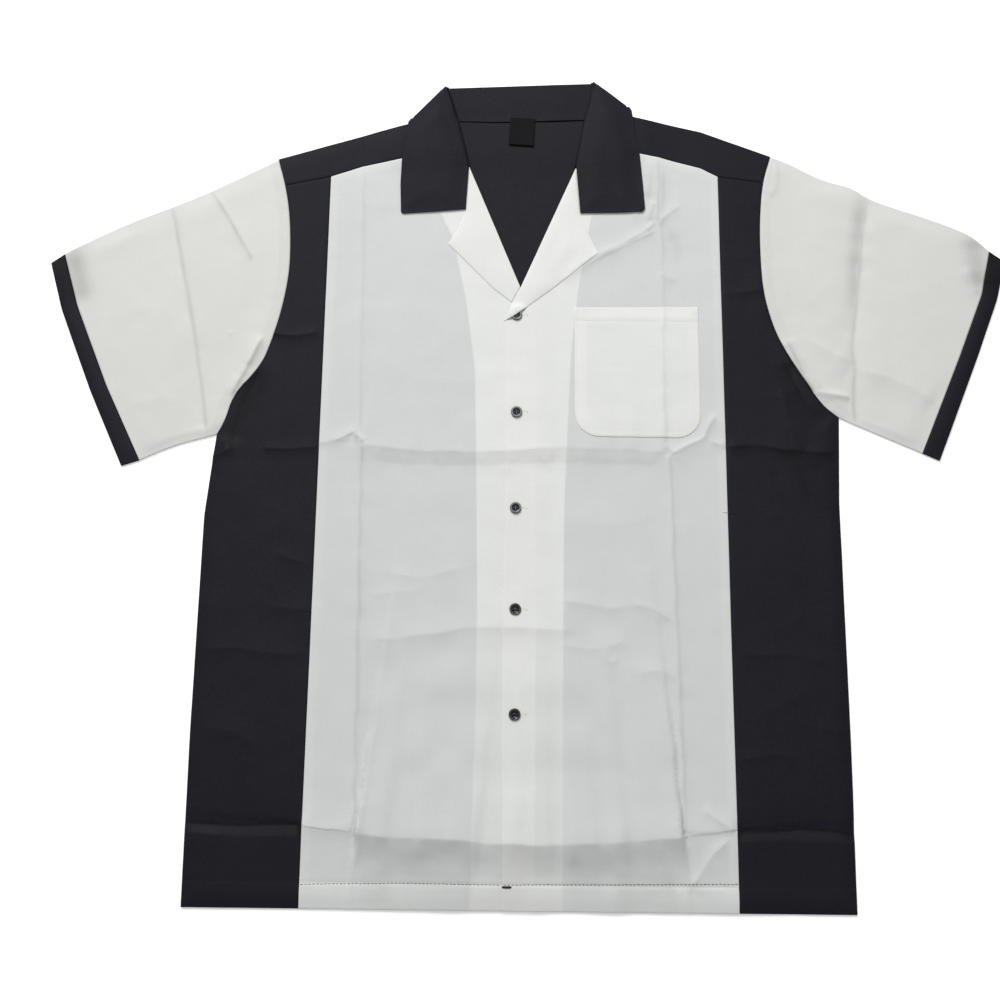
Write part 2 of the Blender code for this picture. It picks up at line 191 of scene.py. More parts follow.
def inset(ring, by):
    """The ring moved inwards, corner by corner."""
    one = ring - np.roll(ring, 1, axis=0)
    two = np.roll(ring, -1, axis=0) - ring
    one /= np.linalg.norm(one, axis=1)[:, None]
    two /= np.linalg.norm(two, axis=1)[:, None]
    n1, n2 = np.stack([-one[:, 1], one[:, 0]], 1), np.stack([-two[:, 1], two[:, 0]], 1)
    mid = n1 + n2
    mid /= np.maximum(np.linalg.norm(mid, axis=1), 1e-6)[:, None]
    return ring + mid * by / np.maximum(0.4, (mid * n1).sum(1))[:, None]


def evenly(a, b, pitch):
    """Points from a towards b, no further apart than the pitch, without b itself."""
    parts = max(1, math.ceil(np.linalg.norm(b - a) / pitch))
    return [a + (b - a) * i / parts for i in range(parts)]


def even_ring(ring, pitch):
    """The ring with points added so that no side is longer than the pitch."""
    return np.vstack([evenly(a, b, pitch) for a, b in zip(ring, np.roll(ring, -1, axis=0))])


print("armhole seam, right:", round(length_of(ARMHOLE["right"])), "mm")

# %% Which points lie inside, and how far a point is from a run
def inside(points, ring):
    x, y = points[:, 0], points[:, 1]
    hit = np.zeros(len(points), bool)
    for (ax, ay), (bx, by) in zip(ring, np.roll(ring, -1, axis=0)):
        if ay != by:
            hit ^= ((ay > y) != (by > y)) & (x < ax + (y - ay) * (bx - ax) / (by - ay))
    return hit


def distance(points, run, closed=False):
    """(distance, signed side, how far along) of each point from a run of points."""
    run = np.asarray(run, float)
    ends = np.roll(run, -1, axis=0) if closed else run[1:]
    starts = run if closed else run[:-1]
    best = np.full(len(points), 1e9)
    side = np.zeros(len(points))
    place = np.zeros(len(points))
    gone = 0.0
    for a, b in zip(starts, ends):
        d = b - a
        size = float(np.hypot(*d))
        t = np.clip(((points - a) @ d) / size**2, 0, 1)
        off = points - a - t[:, None] * d
        far = np.hypot(off[:, 0], off[:, 1])
        nearer = far < best
        best = np.where(nearer, far, best)
        side = np.where(nearer, np.sign(d[0] * off[:, 1] - d[1] * off[:, 0]), side)
        place = np.where(nearer, gone + t * size, place)
        gone += size
    return best, side, place


def ramp(value, start, end):
    return np.clip((value - start) / (end - start), 0, 1)


def ease(value, start, end):
    t = ramp(value, start, end)
    return t * t * (3 - 2 * t)


print("tools ready")

# %% [markdown]
# ## Unevenness
# Cloth that has lain in a packet is never even. A grid of random numbers, read smoothly
# between its cells, gives slow swells with no pattern. The seed is fixed, so the shirt
# is the same each time the lesson is run.

# %% A smooth random field
def swell(points, size, seed):
    """Smooth values from about -1 to 1 that change over the given size."""
    grid = np.random.default_rng(seed).uniform(-1, 1, (96, 96))
    u = points[:, 0] / size + 37.3
    v = points[:, 1] / size + 41.7
    i, j = np.floor(u).astype(int), np.floor(v).astype(int)
    fu, fv = u - i, v - j
    fu, fv = fu**3 * (fu * (6 * fu - 15) + 10), fv**3 * (fv * (6 * fv - 15) + 10)
    pick = lambda a, b: grid[np.mod(a, 96), np.mod(b, 96)]
    low = pick(i, j) * (1 - fu) + pick(i + 1, j) * fu
    high = pick(i, j + 1) * (1 - fu) + pick(i + 1, j + 1) * fu
    return low * (1 - fv) + high * fv


print("swell at the middle:", swell(np.zeros((1, 2)), 60, 3).round(2))

# %% [markdown]
# ## Creases
# The shirt was folded round a board: two long upright creases, and three level ones
# where it was folded up. Each is a row of a table: its path, its height, how far it
# reaches to its left and right hand, and how softly it ends. A sixth number, where there
# is one, is how much shade is painted into the colour along the crease, and a seventh how
# wide that painted shade is. A positive height is a ridge, a negative one a trough. A pressed
# crease has a sharp crest and long slopes, so its section is an exponential with a rounded tip.

# %% The creases of the front
BODY_CREASES = (
    # path, height, reach on the left hand, reach on the right hand, taper, painted shade, shade width
    ([(-167, 56), (-103, 48), (-53, 48), (-10, 50), (38, 54), (99, 52), (146, 50)], 2.2, 36, 10, 8, 0.25),
    ([(-150, 38), (-103, 34), (-53, 35), (38, 38), (92, 36), (138, 37)], -0.7, 8, 18, 14),
    ([(-207, 55), (-184, 59), (-168, 71), (-166, 58)], 1.6, 7, 5, 5, 0.5),
    ([(150, 46), (169, 59), (182, 64), (188, 77), (196, 90)], 2.4, 3, 8, 6, 0.8),
    ([(188, 62), (204, 57)], 0.9, 5, 5, 4, 0.4),
    ([(142, 58), (152, 47)], 1.2, 3, 3, 3, 0.9),
    ([(-170, 66), (-160, 56)], 1.2, 3, 3, 3, 0.9),
    ([(-155, -143), (-98, -137), (-45, -128), (-1, -127), (53, -131)], 1.5, 20, 9, 20, 0.12),
    ([(-139, -74), (-100, -82), (-51, -67)], 0.9, 12, 9, 24),
    ([(-150, -98), (-96, -92)], 0.7, 12, 9, 20),
    ([(40, -102), (87, -109), (126, -104), (146, -119)], 1.3, 14, 8, 12, 0.12),
    ([(40, -144), (77, -149), (97, -139), (104, -147)], 1.0, 9, 8, 12),
    ([(77, -149), (86, -164), (92, -158)], 0.8, 5, 5, 8),
    ([(110, -172), (140, -166), (150, -178)], 0.8, 9, 8, 12),
    ([(-155, -322), (-112, -327), (-65, -326), (-18, -331), (38, -331), (95, -328), (156, -322)], 10.0, 92, 28,
     4, 0.45),
    ([(-146, -362), (-100, -360), (-60, -360), (0, -362), (70, -360), (140, -361)], -0.5, 14, 16, 20),
    ([(-207, -316), (-179, -320), (-155, -322)], 2.6, 22, 12, 5, 0.3),
    ([(156, -321), (204, -316)], 1.6, 14, 10, 6, 0.3),
    ([(171, -296), (203, -318)], 1.6, 8, 6, 8, 0.3),
    ([(158, -372), (174, -346), (198, -323)], 2.2, 6, 11, 10, 0.3),
    ([(-170, 358), (-168, 289), (-166, 178), (-163, 64)], 0.9, 9, 4, 16, 0.5),
    ([(-162, 56), (-160.5, -42), (-158.5, -122), (-157, -218), (-155, -322)], 1.3, 7, 9, 6, 0.85),
    ([(147, 367), (145, 293), (145, 203), (144, 106), (145, 58)], 0.8, 5, 7, 18, 0.55),
    ([(148, 48), (150, -19), (152, -119), (155, -215), (156, -321)], 1.3, 9, 5, 5, 0.95),
    ([(38, 232), (59, 245), (80, 260), (106, 272), (140, 290)], 1.1, 4, 7, 12, 1.0),
    ([(44, 241), (80, 263), (114, 281), (136, 297)], 0.9, 4, 3, 10, 0.7),
    ([(132, 372), (134, 345), (126, 318), (110, 300)], 1.0, 8, 8, 12),
    ([(-18, 98), (10, 92), (42, 97)], 0.35, 18, 14, 16),
    ([(12, -105), (60, -100), (100, -112)], 0.3, 14, 12, 18),
    ([(-150, 236), (-60, 232), (-20, 226)], 0.25, 18, 18, 30),
    ([(141, 376), (142, 338), (141, 300)], 1.2, 4, 6, 6, 0.7),
    ([(166, 319), (154, 310), (145, 302), (142, 295)], 1.1, 8, 5, 6, 0.5, 3.0),
    ([(138, 323), (133, 309), (130, 301)], 1.3, 4, 5, 5, 0.6),
    ([(132, 359), (130, 343), (131, 327)], 1.0, 6, 6, 8, 0.4, 4.0),
    ([(127, 292), (133, 296), (138, 300)], 1.0, 3, 4, 3, 1.0),
    ([(152, 288), (159, 277), (164, 261), (162, 246)], -0.9, 7, 8, 8, 0.45, 6.0),
    ([(141, 241), (149, 238), (158, 233)], 0.6, 5, 5, 4, 0.5),
    # Rows with no height are painted shade alone: a band below the bottom crease, a wide one above the hem and
    # a thin one below the waist crease.
    ([(-155, -336), (-112, -341), (-65, -340), (-18, -345), (38, -345), (95, -342), (156, -336)], 0.0, 14, 14,
     6, 0.9, 16.0),
    ([(-150, -362), (-60, -366), (60, -366), (150, -362)], 0.0, 30, 30, 8, 0.6, 26.0),
    ([(-150, 43), (-103, 39), (-53, 40), (38, 42), (92, 40), (140, 41)], 0.0, 8, 8, 10, 0.25, 5.0),
    ([(-150, 352), (-146, 330), (-150, 306)], 0.7, 8, 8, 10),
    ([(52, -20), (96, -26), (140, -14)], 0.5, 16, 14, 20),
    ([(-20, 130), (-60, 120), (-120, 126)], 0.35, 18, 16, 24),
    # short puckers that hang from the level creases
    *[([(x, y), (x + dx, y - deep)], 0.6 * high, 8, 9, 9) for x, y, dx, deep, high in (
        (-150, 52, 14, 22, 0.9), (-112, 47, -6, 18, 0.6), (-88, 48, 9, 20, 0.7), (-58, 47, 5, 24, 0.8),
        (-34, 48, -10, 16, 0.5),
        (-12, 50, -6, 26, 0.9), (12, 53, 12, 18, 0.6), (30, 54, -7, 24, 0.9), (56, 53, 10, 20, 0.7),
        (84, 52, -5, 20, 0.6),
        (108, 51, 8, 22, 0.8), (132, 50, -8, 18, 0.8), (-140, -324, 8, 22, 0.9), (-120, -327, -6, 26, 0.8),
        (-96, -327, 4, 20, 0.7),
        (-70, -327, -5, 24, 0.9), (-42, -329, 6, 20, 0.7), (-8, -331, -4, 22, 0.7), (24, -331, 6, 26, 0.8),
        (52, -330, -6, 20, 0.8),
        (78, -329, 5, 24, 0.8), (104, -327, -4, 22, 0.7), (130, -325, 6, 24, 0.9))],
)
SIDE_CREASES = (
    ([(-262, 173), (-236, 170), (-211, 172)], 1.2, 5, 4, 6, 0.6),
    ([(-273, 172), (-266, 140), (-274, 106), (-288, 72), (-292, 56)], -2.2, 9, 13, 10, 0.8),
    ([(-303, 122), (-286, 120), (-272, 133), (-262, 160)], 1.4, 8, 5, 10),
    ([(-262, 50), (-240, 49), (-207, 51)], 1.3, 9, 5, 6, 0.9),
    # Rows with no height are painted shade alone, along the folds by the armholes.
    ([(-264, 178), (-268, 146), (-280, 112), (-291, 74), (-295, 54), (-313, 42)], 0.0, 9, 9, 8, 0.8, 4.5),
    ([(-262, 150), (-272, 110), (-280, 70), (-282, 30)], 0.0, 9, 9, 14, 0.45, 9.0),
    ([(252, 210), (266, 172), (282, 138), (298, 108), (314, 92)], 0.0, 8, 8, 8, 0.6, 7.0),
    ([(262, 80), (272, 40), (288, 0)], 0.5, 10, 10, 14, 0.4, 7.0),
    ([(-314, 39), (-303, 43), (-290, 50)], 1.8, 5, 5, 4, 1.0),
    ([(-282, 38), (-276, -10), (-279, -70), (-285, -130)], 0.7, 8, 8, 20),
    ([(-245, -56), (-226, -64), (-208, -68)], 0.9, 9, 7, 10),
    ([(-246, -108), (-226, -112), (-208, -114)], 0.8, 9, 7, 10),
    ([(-312, -152), (-272, -150), (-238, -156), (-208, -153)], 0.9, 14, 8, 12),
    ([(-308, -226), (-276, -228), (-250, -245)], 0.7, 10, 8, 14),
    ([(-270, -238), (-262, -275), (-250, -298)], 0.5, 8, 8, 14),
    ([(-315, -315), (-262, -318), (-207, -317)], -1.6, 12, 5, 3, 1.0),
    ([(-315, -324), (-262, -327), (-207, -326)], 0.9, 5, 18, 3),
    ([(207, 262), (244, 259)], 0.6, 6, 6, 6),
    ([(207, 221), (248, 224)], 1.2, 6, 6, 5, 0.5),
    ([(206, 56), (238, 58), (262, 53), (314, 51)], 1.8, 8, 5, 6, 0.7),
    ([(268, 146), (282, 112), (296, 96), (312, 84)], -2.0, 8, 10, 10, 0.6),
    ([(262, 122), (270, 82), (276, 56), (296, 30)], 0.8, 8, 9, 14),
    ([(207, -148), (240, -152), (262, -150), (300, -160)], 0.8, 10, 8, 14),
    ([(262, -126), (276, -110)], 0.5, 6, 6, 8),
    ([(207, -252), (240, -246), (266, -248)], 0.7, 9, 7, 12),
    ([(284, -222), (312, -226)], 0.7, 7, 7, 8),
    ([(228, -210), (262, -196), (280, -180)], 0.5, 12, 10, 16),
    ([(205, -318), (262, -315), (316, -320)], -1.6, 12, 5, 3, 1.0),
    ([(205, -327), (262, -324), (316, -328)], 0.9, 5, 18, 3),
)
print(len(BODY_CREASES), "creases on the fronts and", len(SIDE_CREASES), "on the sides")


# %% From a crease table to a height and a pressed line
LINE_WIDTH = 1.9


def relief(points, creases, seed=5, line=False, stray=1.1):
    """Height that the creases add at each point, straying and ragged along their length.
    With line=True it is instead the shade painted along the creases at each point, darkest on a crease's line,
    from 0 to 1."""
    total = np.zeros(len(points))
    for k, (path, height, left, right, taper, *painted_shade) in enumerate(creases):
        if line and not painted_shade:
            continue
        path = np.asarray(path, float)
        far = 5 * max(left, right)
        near = ((points > path.min(0) - far) & (points < path.max(0) + far)).all(1)
        if not near.any():
            continue
        at = points[near]
        wander = np.stack([swell(at, 19, seed + k), swell(at, 23, seed + 50 + k)], 1)
        off, side, place = distance(at + stray * wander, soft(path, 5.0))
        size = length_of(path)
        ends = ease(np.minimum(place, size - place), -0.3 * taper, taper)
        ragged = 1 + 0.3 * swell(np.stack([place, 0 * place + 9 * k], 1), 14, seed + k)
        # Painted shade: how much darker the colour is made along and beside each crease that has a shade
        # strength.
        if line:
            strength, wide = (*painted_shade, LINE_WIDTH)[:2]
            shade_here = strength * np.exp(-((off / wide) ** 2)) * ends * ragged
            total[near] = np.maximum(total[near], shade_here)
            continue
        reach = np.where(side > 0, left, right) * (1 + 0.25 * swell(at, 31, seed + 90 + k))
        crest = np.sqrt(off**2 + 0.7) - math.sqrt(0.7)
        total[near] += height * np.exp(-crest / reach) * ends * ragged
    return total


print("height on the waist crease:", relief(np.array([[0.0, 54.0]]), BODY_CREASES).round(2), "mm")

# %% [markdown]
# ## Layers
# The back lies on the table. The fronts, side panels and yokes lie on the back, the left
# front lies over the edge of the right, and the lapels, leaves and pocket lie on those.
# A layer is a function from a place on the plan to the height of its underside, and each
# builds on the one below it, so the creases of the fronts come through the pocket too.

# %% Heights of the layers
EDGE = ring_of(soft(SHOULDER["right"])[::-1], ARMHOLE["right"], SIDE["right"], SIDE["left"][::-1],
               ARMHOLE["left"][::-1], soft(SHOULDER["left"]), BACK_NECK[::-1])
THROUGH = BODY_CREASES[:1] + BODY_CREASES[14:15]
OUTER_EDGES = [SHOULDER["right"], SHOULDER["left"], SIDE["right"], SIDE["left"],
               [SIDE["right"][-1], SIDE["left"][-1]]]


def rolling(p, fine=0.10):
    """The slow swells that every upper layer shares."""
    return 0.5 * swell(p, 74, 11) + 0.25 * swell(p, 33, 12) + fine * swell(p, 13, 13)


def fall_lift(p):
    """The collar's fall lies under the back and lifts what is above it."""
    return 1.6 * ease(p[:, 1], 345, 388) * ease(-np.abs(p[:, 0] + 4), -170, -126)


def back_under(p):
    """The two level creases reach the back too."""
    return fall_lift(p) + 0.35 * ramp(relief(p, THROUGH), 0, 3)


def settle(p):
    """The front layer comes down to the back along the folded and hemmed edges."""
    off = np.min([distance(p, run)[0] for run in OUTER_EDGES], axis=0)
    return (LAYER - WALL - 0.25) * (1 - ease(off, 0, 17)) ** 2


def hem_fold(p):
    """The turned-up hem is double, with a dent where it is stitched."""
    dent = np.exp(-(((p[:, 1] - HEM_LINE) / 1.4) ** 2))
    made = 0.40 * (1 - ease(p[:, 1], HEM_LINE - 3, HEM_LINE + 1)) - 0.30 * dent
    return made * (1 - 0.7 * ramp(np.abs(p[:, 0]), 204.8, 205.2))


def front_under(p):
    flat = LAYER + SPACE + fall_lift(p) + rolling(p)
    made = flat + relief(p, BODY_CREASES) + relief(p, SIDE_CREASES) + hem_fold(p)
    return np.maximum(made, back_under(p) + WALL + 0.2) - settle(p)


def left_under(p):
    """The left front steps up onto the right one, except where the lapel and the hem begin."""
    return front_under(p) + STEP * ramp(-p[:, 0], -34, -15) * ramp(-p[:, 1], -262, -228)


def raised(flat, level, rise=0.0):
    """Points in space over plan points: the height of a level there, and a rise above it."""
    flat = np.asarray(flat, float)
    return np.column_stack([flat, level(flat) + np.asarray(rise)])


print("fronts lie", round(float(front_under(np.array([[100.0, -200.0]]))[0]), 2), "mm above the table")

# %% [markdown]
# ## From an outline to a cloth
# A cloth is a thin shell: the same triangles twice, a wall apart, closed round the edge.
# Blender's constrained triangulation fills the outline from the points that it is given.
# The points are an even grid, rows beside each crease where the height changes fast,
# and two rows just inside the edge, which let the edge be rounded like a pressed fold.

# %% The cloth builder
def rows_beside(path, offsets, pitch=3.0):
    """Rows of points on both sides of a run."""
    path = soft(path, pitch)
    ahead = np.gradient(path, axis=0)
    ahead /= np.linalg.norm(ahead, axis=1)[:, None]
    left = np.stack([-ahead[:, 1], ahead[:, 0]], 1)
    return np.vstack([path + left * by for by in offsets])


def plan_points(ring, pitch, rows):
    """Every point that the triangulation gets: the edge, its inner rows, extra rows and a grid."""
    rim = even_ring(ring, pitch)
    extra = np.vstack([inset(rim, 0.45), inset(rim, 1.2), *rows])
    extra = extra[inside(extra, ring)]
    extra = extra[distance(extra, rim, closed=True)[0] > 0.3]
    low, high = ring.min(0), ring.max(0)
    gx, gy = np.meshgrid(np.arange(low[0], high[0], pitch), np.arange(low[1], high[1], pitch * 0.87))
    gx[1::2] += pitch / 2
    grid = np.stack([gx.ravel(), gy.ravel()], 1)
    grid = grid[inside(grid, ring)]
    tree = kdtree.KDTree(len(extra) + len(rim))
    for n, p in enumerate(np.vstack([rim, extra])):
        tree.insert((p[0], p[1], 0), n)
    tree.balance()
    clear = [tree.find((p[0], p[1], 0))[2] > 0.55 * pitch for p in grid]
    # Rows that cross each other are thinned, so no triangle is a needle.
    seen = {}
    keep = [seen.setdefault((round(x / 0.35), round(y / 0.35)), n) == n for n, (x, y) in enumerate(extra)]
    return rim, np.vstack([extra[keep], grid[np.array(clear)]])


def fill(rim, inner):
    """Triangles over the outline rim that use every inner point."""
    points = [Vector(p) for p in np.vstack([rim, inner])]
    verts, _, faces, *_ = delaunay_2d_cdt(points, [], [list(range(len(rim)))], 1, 1e-6)
    return np.array([tuple(v) for v in verts]), np.array(faces)


def triangulate(ring, pitch, rows=()):
    return fill(*plan_points(ring, pitch, rows))


def mesh_from(name, points, faces, finish, values=None):
    """An object from points in millimetres, with named values for its material."""
    places = np.array(points, float)
    places[:, :2] -= MIDDLE
    mesh = bpy.data.meshes.new(name)
    mesh.from_pydata((places * MM).tolist(), [], [tuple(f) for f in faces])
    mesh.polygons.foreach_set("use_smooth", [True] * len(mesh.polygons))
    mesh.materials.append(finish)
    for key, numbers in (values or {}).items():
        mesh.attributes.new(key, "FLOAT", "POINT").data.foreach_set("value", np.asarray(numbers, float))
    made = bpy.data.objects.new(name, mesh)
    bpy.context.scene.collection.objects.link(made)
    return made


def shell(name, plan, faces, low, high, finish, **values):
    """The same triangles at two heights, closed round the edge, as the CAD node of that name."""
    count = len(plan)
    used = {(a, b) for f in faces for a, b in ((f[0], f[1]), (f[1], f[2]), (f[2], f[0]))}
    walls = [(a, b, b + count, a + count) for a, b in used if (b, a) not in used]
    points = np.vstack([np.column_stack([plan, low]), np.column_stack([plan, high])])
    skin = [tuple(f[::-1]) for f in faces] + [tuple(f + count) for f in faces] + walls
    return stands_for(mesh_from(name, points, skin, finish, values), name)


def cloth(name, ring, under, finish, pitch=3.2, rows=(), cover=None, wall=WALL, turn=0.55, creases=()):
    """A shell of one cloth over a plan ring. turn is how far its upper edge is rounded off."""
    plan, faces = triangulate(ring, pitch, rows)
    off = distance(plan, ring, closed=True)[0]
    low = under(plan)
    high = low + wall * (1 - turn * (1 - ramp(off, 0, 1.4)) ** 2)
    shade = cover(plan) if cover else np.zeros(len(plan))
    # The creases' painted shade, darker colour along and beside them, goes to the material with the cloth.
    line = relief(plan, creases, line=True)
    return shell(name, plan, faces, low, high, finish, cover=np.tile(shade, 2), mark=np.tile(line, 2))


def stands_for(made, node, slot=None):
    """Puts a piece on the one body, in place of a CAD node or as a trimming; no material slot is given to it.
    """
    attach(made, "root")
    if node:
        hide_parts(node)
        slot = slot or next(s["material_slot"] for s in frame["record"]["subparts"] if s["node"] == node)
    print(made.name, len(made.data.polygons), "faces")
    return made


def beside(creases, offsets=(-5.5, -3.2, -1.8, -0.8, 0, 0.8, 1.8, 3.2, 5.5)):
    return [rows_beside(path, offsets) for path, *_ in creases]


print("cloth builder ready")

# %% [markdown]
# ## Poplin
# Both colours are the same poplin: a plain weave of fine threads, matt, with a few
# thicker threads that show as faint streaks along and across. The streaks come from
# noise pulled out long in one direction, once for the warp and once for the weft, and
# the weave from two fine waves. White poplin is thin enough to show what is under it:
# it is grey over the black back and brighter where it is double, so each white piece
# carries a value named cover, which says how many white cloths lie there.

# %% Node helpers and the two poplins
def node(tree, kind, **values):
    made = tree.nodes.new(kind)
    for key, value in values.items():
        if key in made.inputs:
            made.inputs[key].default_value = value
        else:
            setattr(made, key, value)
    return made


def new_finish(name):
    """A new material, its node tree and its shader."""
    made = bpy.data.materials.new(name)
    made.use_nodes = True
    return made, made.node_tree, made.node_tree.nodes["Principled BSDF"]


def fixed(shader, **values):
    """Sets sockets of the shader, whose names are given with _ for a space."""
    for key, value in values.items():
        shader.inputs[key.replace("_", " ")].default_value = value


def bumped(tree, height, **values):
    """Raises the surface by a height, as fine relief that needs no triangles."""
    lifted = node(tree, "ShaderNodeBump", **values)
    tree.links.new(height, lifted.inputs["Height"])
    tree.links.new(lifted.outputs["Normal"], tree.nodes["Principled BSDF"].inputs["Normal"])


def threads(tree, where, stretch, scale, detail=4.0):
    """Noise pulled out along one direction, as thick threads are."""
    turned = node(tree, "ShaderNodeMapping", Scale=stretch)
    tree.links.new(where.outputs["Object"], turned.inputs["Vector"])
    made = node(tree, "ShaderNodeTexNoise", Scale=scale, Detail=detail, Roughness=0.6)
    tree.links.new(turned.outputs["Vector"], made.inputs["Vector"])
    return made


def combine(tree, kind, a, b, scale_b=None):
    """a and b joined by one sum, product or other arithmetic."""
    made = node(tree, "ShaderNodeMath", operation=kind)
    for n, value in enumerate((a, b, scale_b)):
        if value is None:
            continue
        if isinstance(value, (int, float)):
            made.inputs[n].default_value = value
        else:
            tree.links.new(value, made.inputs[n])
    return made.outputs[0]


def poplin(name, colours, streak, sheen, rough=0.88, bump=0.25, marked=0.12, grain=0.02, gloss=0.22):
    """Plain-weave cloth. colours are (cover value, colour) steps, thin to many layers."""
    made, tree, shader = new_finish(name)
    where = tree.nodes.new("ShaderNodeTexCoord")
    warp = threads(tree, where, (1.0, 0.045, 1.0), 1500.0)
    weft = threads(tree, where, (0.045, 1.0, 1.0), 1300.0)
    cloud = threads(tree, where, (1.0, 1.0, 1.0), 38.0, 3.0)
    slubs = combine(tree, "ADD", warp.outputs["Fac"], weft.outputs["Fac"])
    cover = node(tree, "ShaderNodeAttribute", attribute_name="cover")
    shade = node(tree, "ShaderNodeValToRGB")
    steps = shade.color_ramp.elements
    for n, (at, colour) in enumerate(colours):
        step = steps[n] if n < 2 else steps.new(at)
        step.position, step.color = at, (*colour, 1)
    tree.links.new(cover.outputs["Fac"], shade.inputs["Fac"])
    nap = threads(tree, where, (1.0, 1.0, 1.0), 850.0, 1.0)
    change = 1.0
    for value, middle, share in ((slubs, 1.0, streak), (cloud.outputs["Fac"], 0.5, 0.5 * streak),
                                 (nap.outputs["Fac"], 0.5, grain * 4)):
        change = combine(tree, "MULTIPLY_ADD", combine(tree, "SUBTRACT", value, middle), share, change)
    # Painted shade: the colour is darkened along and beside the creases by the value they carry, times the
    # strength given for this cloth.
    mark = node(tree, "ShaderNodeAttribute", attribute_name="mark")
    change = combine(tree, "SUBTRACT", change, combine(tree, "MULTIPLY", mark.outputs["Fac"], marked))
    tinted = node(tree, "ShaderNodeVectorMath", operation="SCALE")
    tree.links.new(shade.outputs["Color"], tinted.inputs[0])
    tree.links.new(change, tinted.inputs["Scale"])
    tree.links.new(tinted.outputs[0], shader.inputs["Base Color"])
    weave = []
    for axis in ("X", "Y"):
        wave = node(tree, "ShaderNodeTexWave", bands_direction=axis, Scale=520.0, Distortion=0.6)
        wave.inputs["Detail Scale"].default_value = 40.0
        tree.links.new(where.outputs["Object"], wave.inputs["Vector"])
        weave.append(wave.outputs["Fac"])
    cross = combine(tree, "MULTIPLY", weave[0], weave[1])
    height = combine(tree, "MULTIPLY_ADD", slubs, 1.4, cross)
    bumped(tree, height, Strength=bump, Distance=0.00012)
    fixed(shader, Roughness=rough, Specular_IOR_Level=gloss, Sheen_Weight=sheen, Sheen_Roughness=0.55)
    return made


WHITE = poplin("off-white poplin", (
    (0.0, (0.610, 0.622, 0.617)), (0.5, (0.730, 0.738, 0.725)), (0.8, (0.738, 0.743, 0.722)),
    (1.0, (0.766, 0.768, 0.742))), 0.075, 0.05)
SLEEVE_WHITE = poplin("off-white poplin of the sleeves", (
    (0.0, (0.618, 0.618, 0.600)), (0.5, (0.735, 0.733, 0.712)), (1.0, (0.766, 0.764, 0.738))), 0.075, 0.05)
BLACK = poplin("black poplin", ((0.0, (0.0052, 0.0052, 0.0100)), (1.0, (0.0066, 0.0066, 0.0115))), 0.6, 0.0,
               rough=0.60,
               marked=0.55, grain=0.50, gloss=0.22)
print("poplins:", WHITE.name, BLACK.name)

# %% [markdown]
# ## The back and the black panels
# The back is one cloth from hem to neck and shows through the open neck. The side panels
# and the forward yokes lie on it. In black poplin the creases read by their sheen and by a
# strong shade painted along them, so the side panels have their own short creases, which
# start and end at the seams.

# %% Back, side panels and yokes
HALF_SEAM = 0.15
back = cloth("back", inset(EDGE, HALF_SEAM), back_under, BLACK, pitch=5.0, rows=beside(THROUGH))
hole = {}
for side in ("right", "left"):
    hole[side] = soft(ARMHOLE[side], 4.0)
    yoke_end = int(np.argmin(np.linalg.norm(hole[side] - YOKE_SEAM[side][0], axis=1)))
    hole[side] = (hole[side][:yoke_end + 1], hole[side][yoke_end:])
made, outline = {}, {}
for side, sign in SIDES:
    upper, lower = hole[side]
    name, seam_top = "side_" + side, (sign * PANEL_X, YOKE_SEAM[side][1][1])
    outline[name] = ring_of([(sign * PANEL_X, HEM_Y), seam_top], lower, SIDE[side][1:])
    local = [c for c in SIDE_CREASES if sign * c[0][0][0] > 0]
    hem_row = [rows_beside([(sign * 204, HEM_LINE), (sign * 315, HEM_LINE)], (-1.5, 0, 1.5))]
    made[name] = cloth(name, inset(outline[name], HALF_SEAM), front_under, BLACK,
                       rows=beside(local) + hem_row, creases=SIDE_CREASES)
    name = "yoke_" + side
    outline[name] = ring_of(SHOULDER[side], NECK_EDGE[side][1:3], YOKE_SEAM[side][::-1][:-1], lower[:1],
                            upper[::-1])
    made[name] = cloth(name, inset(outline[name], HALF_SEAM), front_under, BLACK, pitch=3.0)

# %% [markdown]
# ## The white fronts
# Each front has a facing behind its opening edge, cut with it and folded back. It can't
# be seen, but it shows through as a brighter strip whose edge widens towards the collar.
# The same is true of the hem and of the strip where the two fronts overlap. Each of
# these edges is a run of points, and the cover value steps up as it is crossed.

# %% Where the cloth is double
FACING = {
    "right": [(-96, 330), (-88, 309), (-74, 279), (-65.5, 240), (-59, 209), (-54.5, 177), (-49, 136), (-47, 75),
              (-43, -100), (-43, -222), (-45, -320), (-46, HEM_Y)],
    "left": [(80, 330), (71, 306), (63, 264), (56, 219), (49, 152), (45, 61), (42, -12), (40.5, -200),
             (40, HEM_Y)],
}


FACED, OVERLAPPED, HEMMED, TURNED_IN = 0.52, 0.33, 0.24, 0.10


def beyond(p, run, width=1.1):
    """0 on the left hand of a run, 1 on its right hand, soft over a short width."""
    off, side, _ = distance(p, run)
    return ease(-side * off, -width, width)


def double_hem(p):
    return ease(-p[:, 1], -HEM_LINE - 0.8, -HEM_LINE + 0.8)


def seam_turn(p, run, wide=9.0):
    """The turned-in seam allowance behind an edge, a little brighter."""
    return 1 - ease(distance(p, run)[0], wide - 0.9, wide + 0.9)


def worn_thin(p):
    """The doubled cloth shows up less towards the hem, where the shirt lies closer to the back."""
    return 1 - 0.5 * ease(-p[:, 1], 60, 230)


def front_cover(p, side, doubled):
    """Doubled cloth of the opening and hem, or at least the turnings along the seams."""
    x, top = {"right": (-PANEL_X, 348), "left": (PANEL_X, 352)}[side]
    shown = doubled * worn_thin(p) + HEMMED * double_hem(p)
    edge = np.maximum(seam_turn(p, [(x, HEM_Y), (x, top)]), seam_turn(p, YOKE_SEAM[side], 8))
    return np.maximum(shown, TURNED_IN * edge)


def right_cover(p):
    return front_cover(p, "right", FACED * (1 - beyond(p, FACING["right"])))


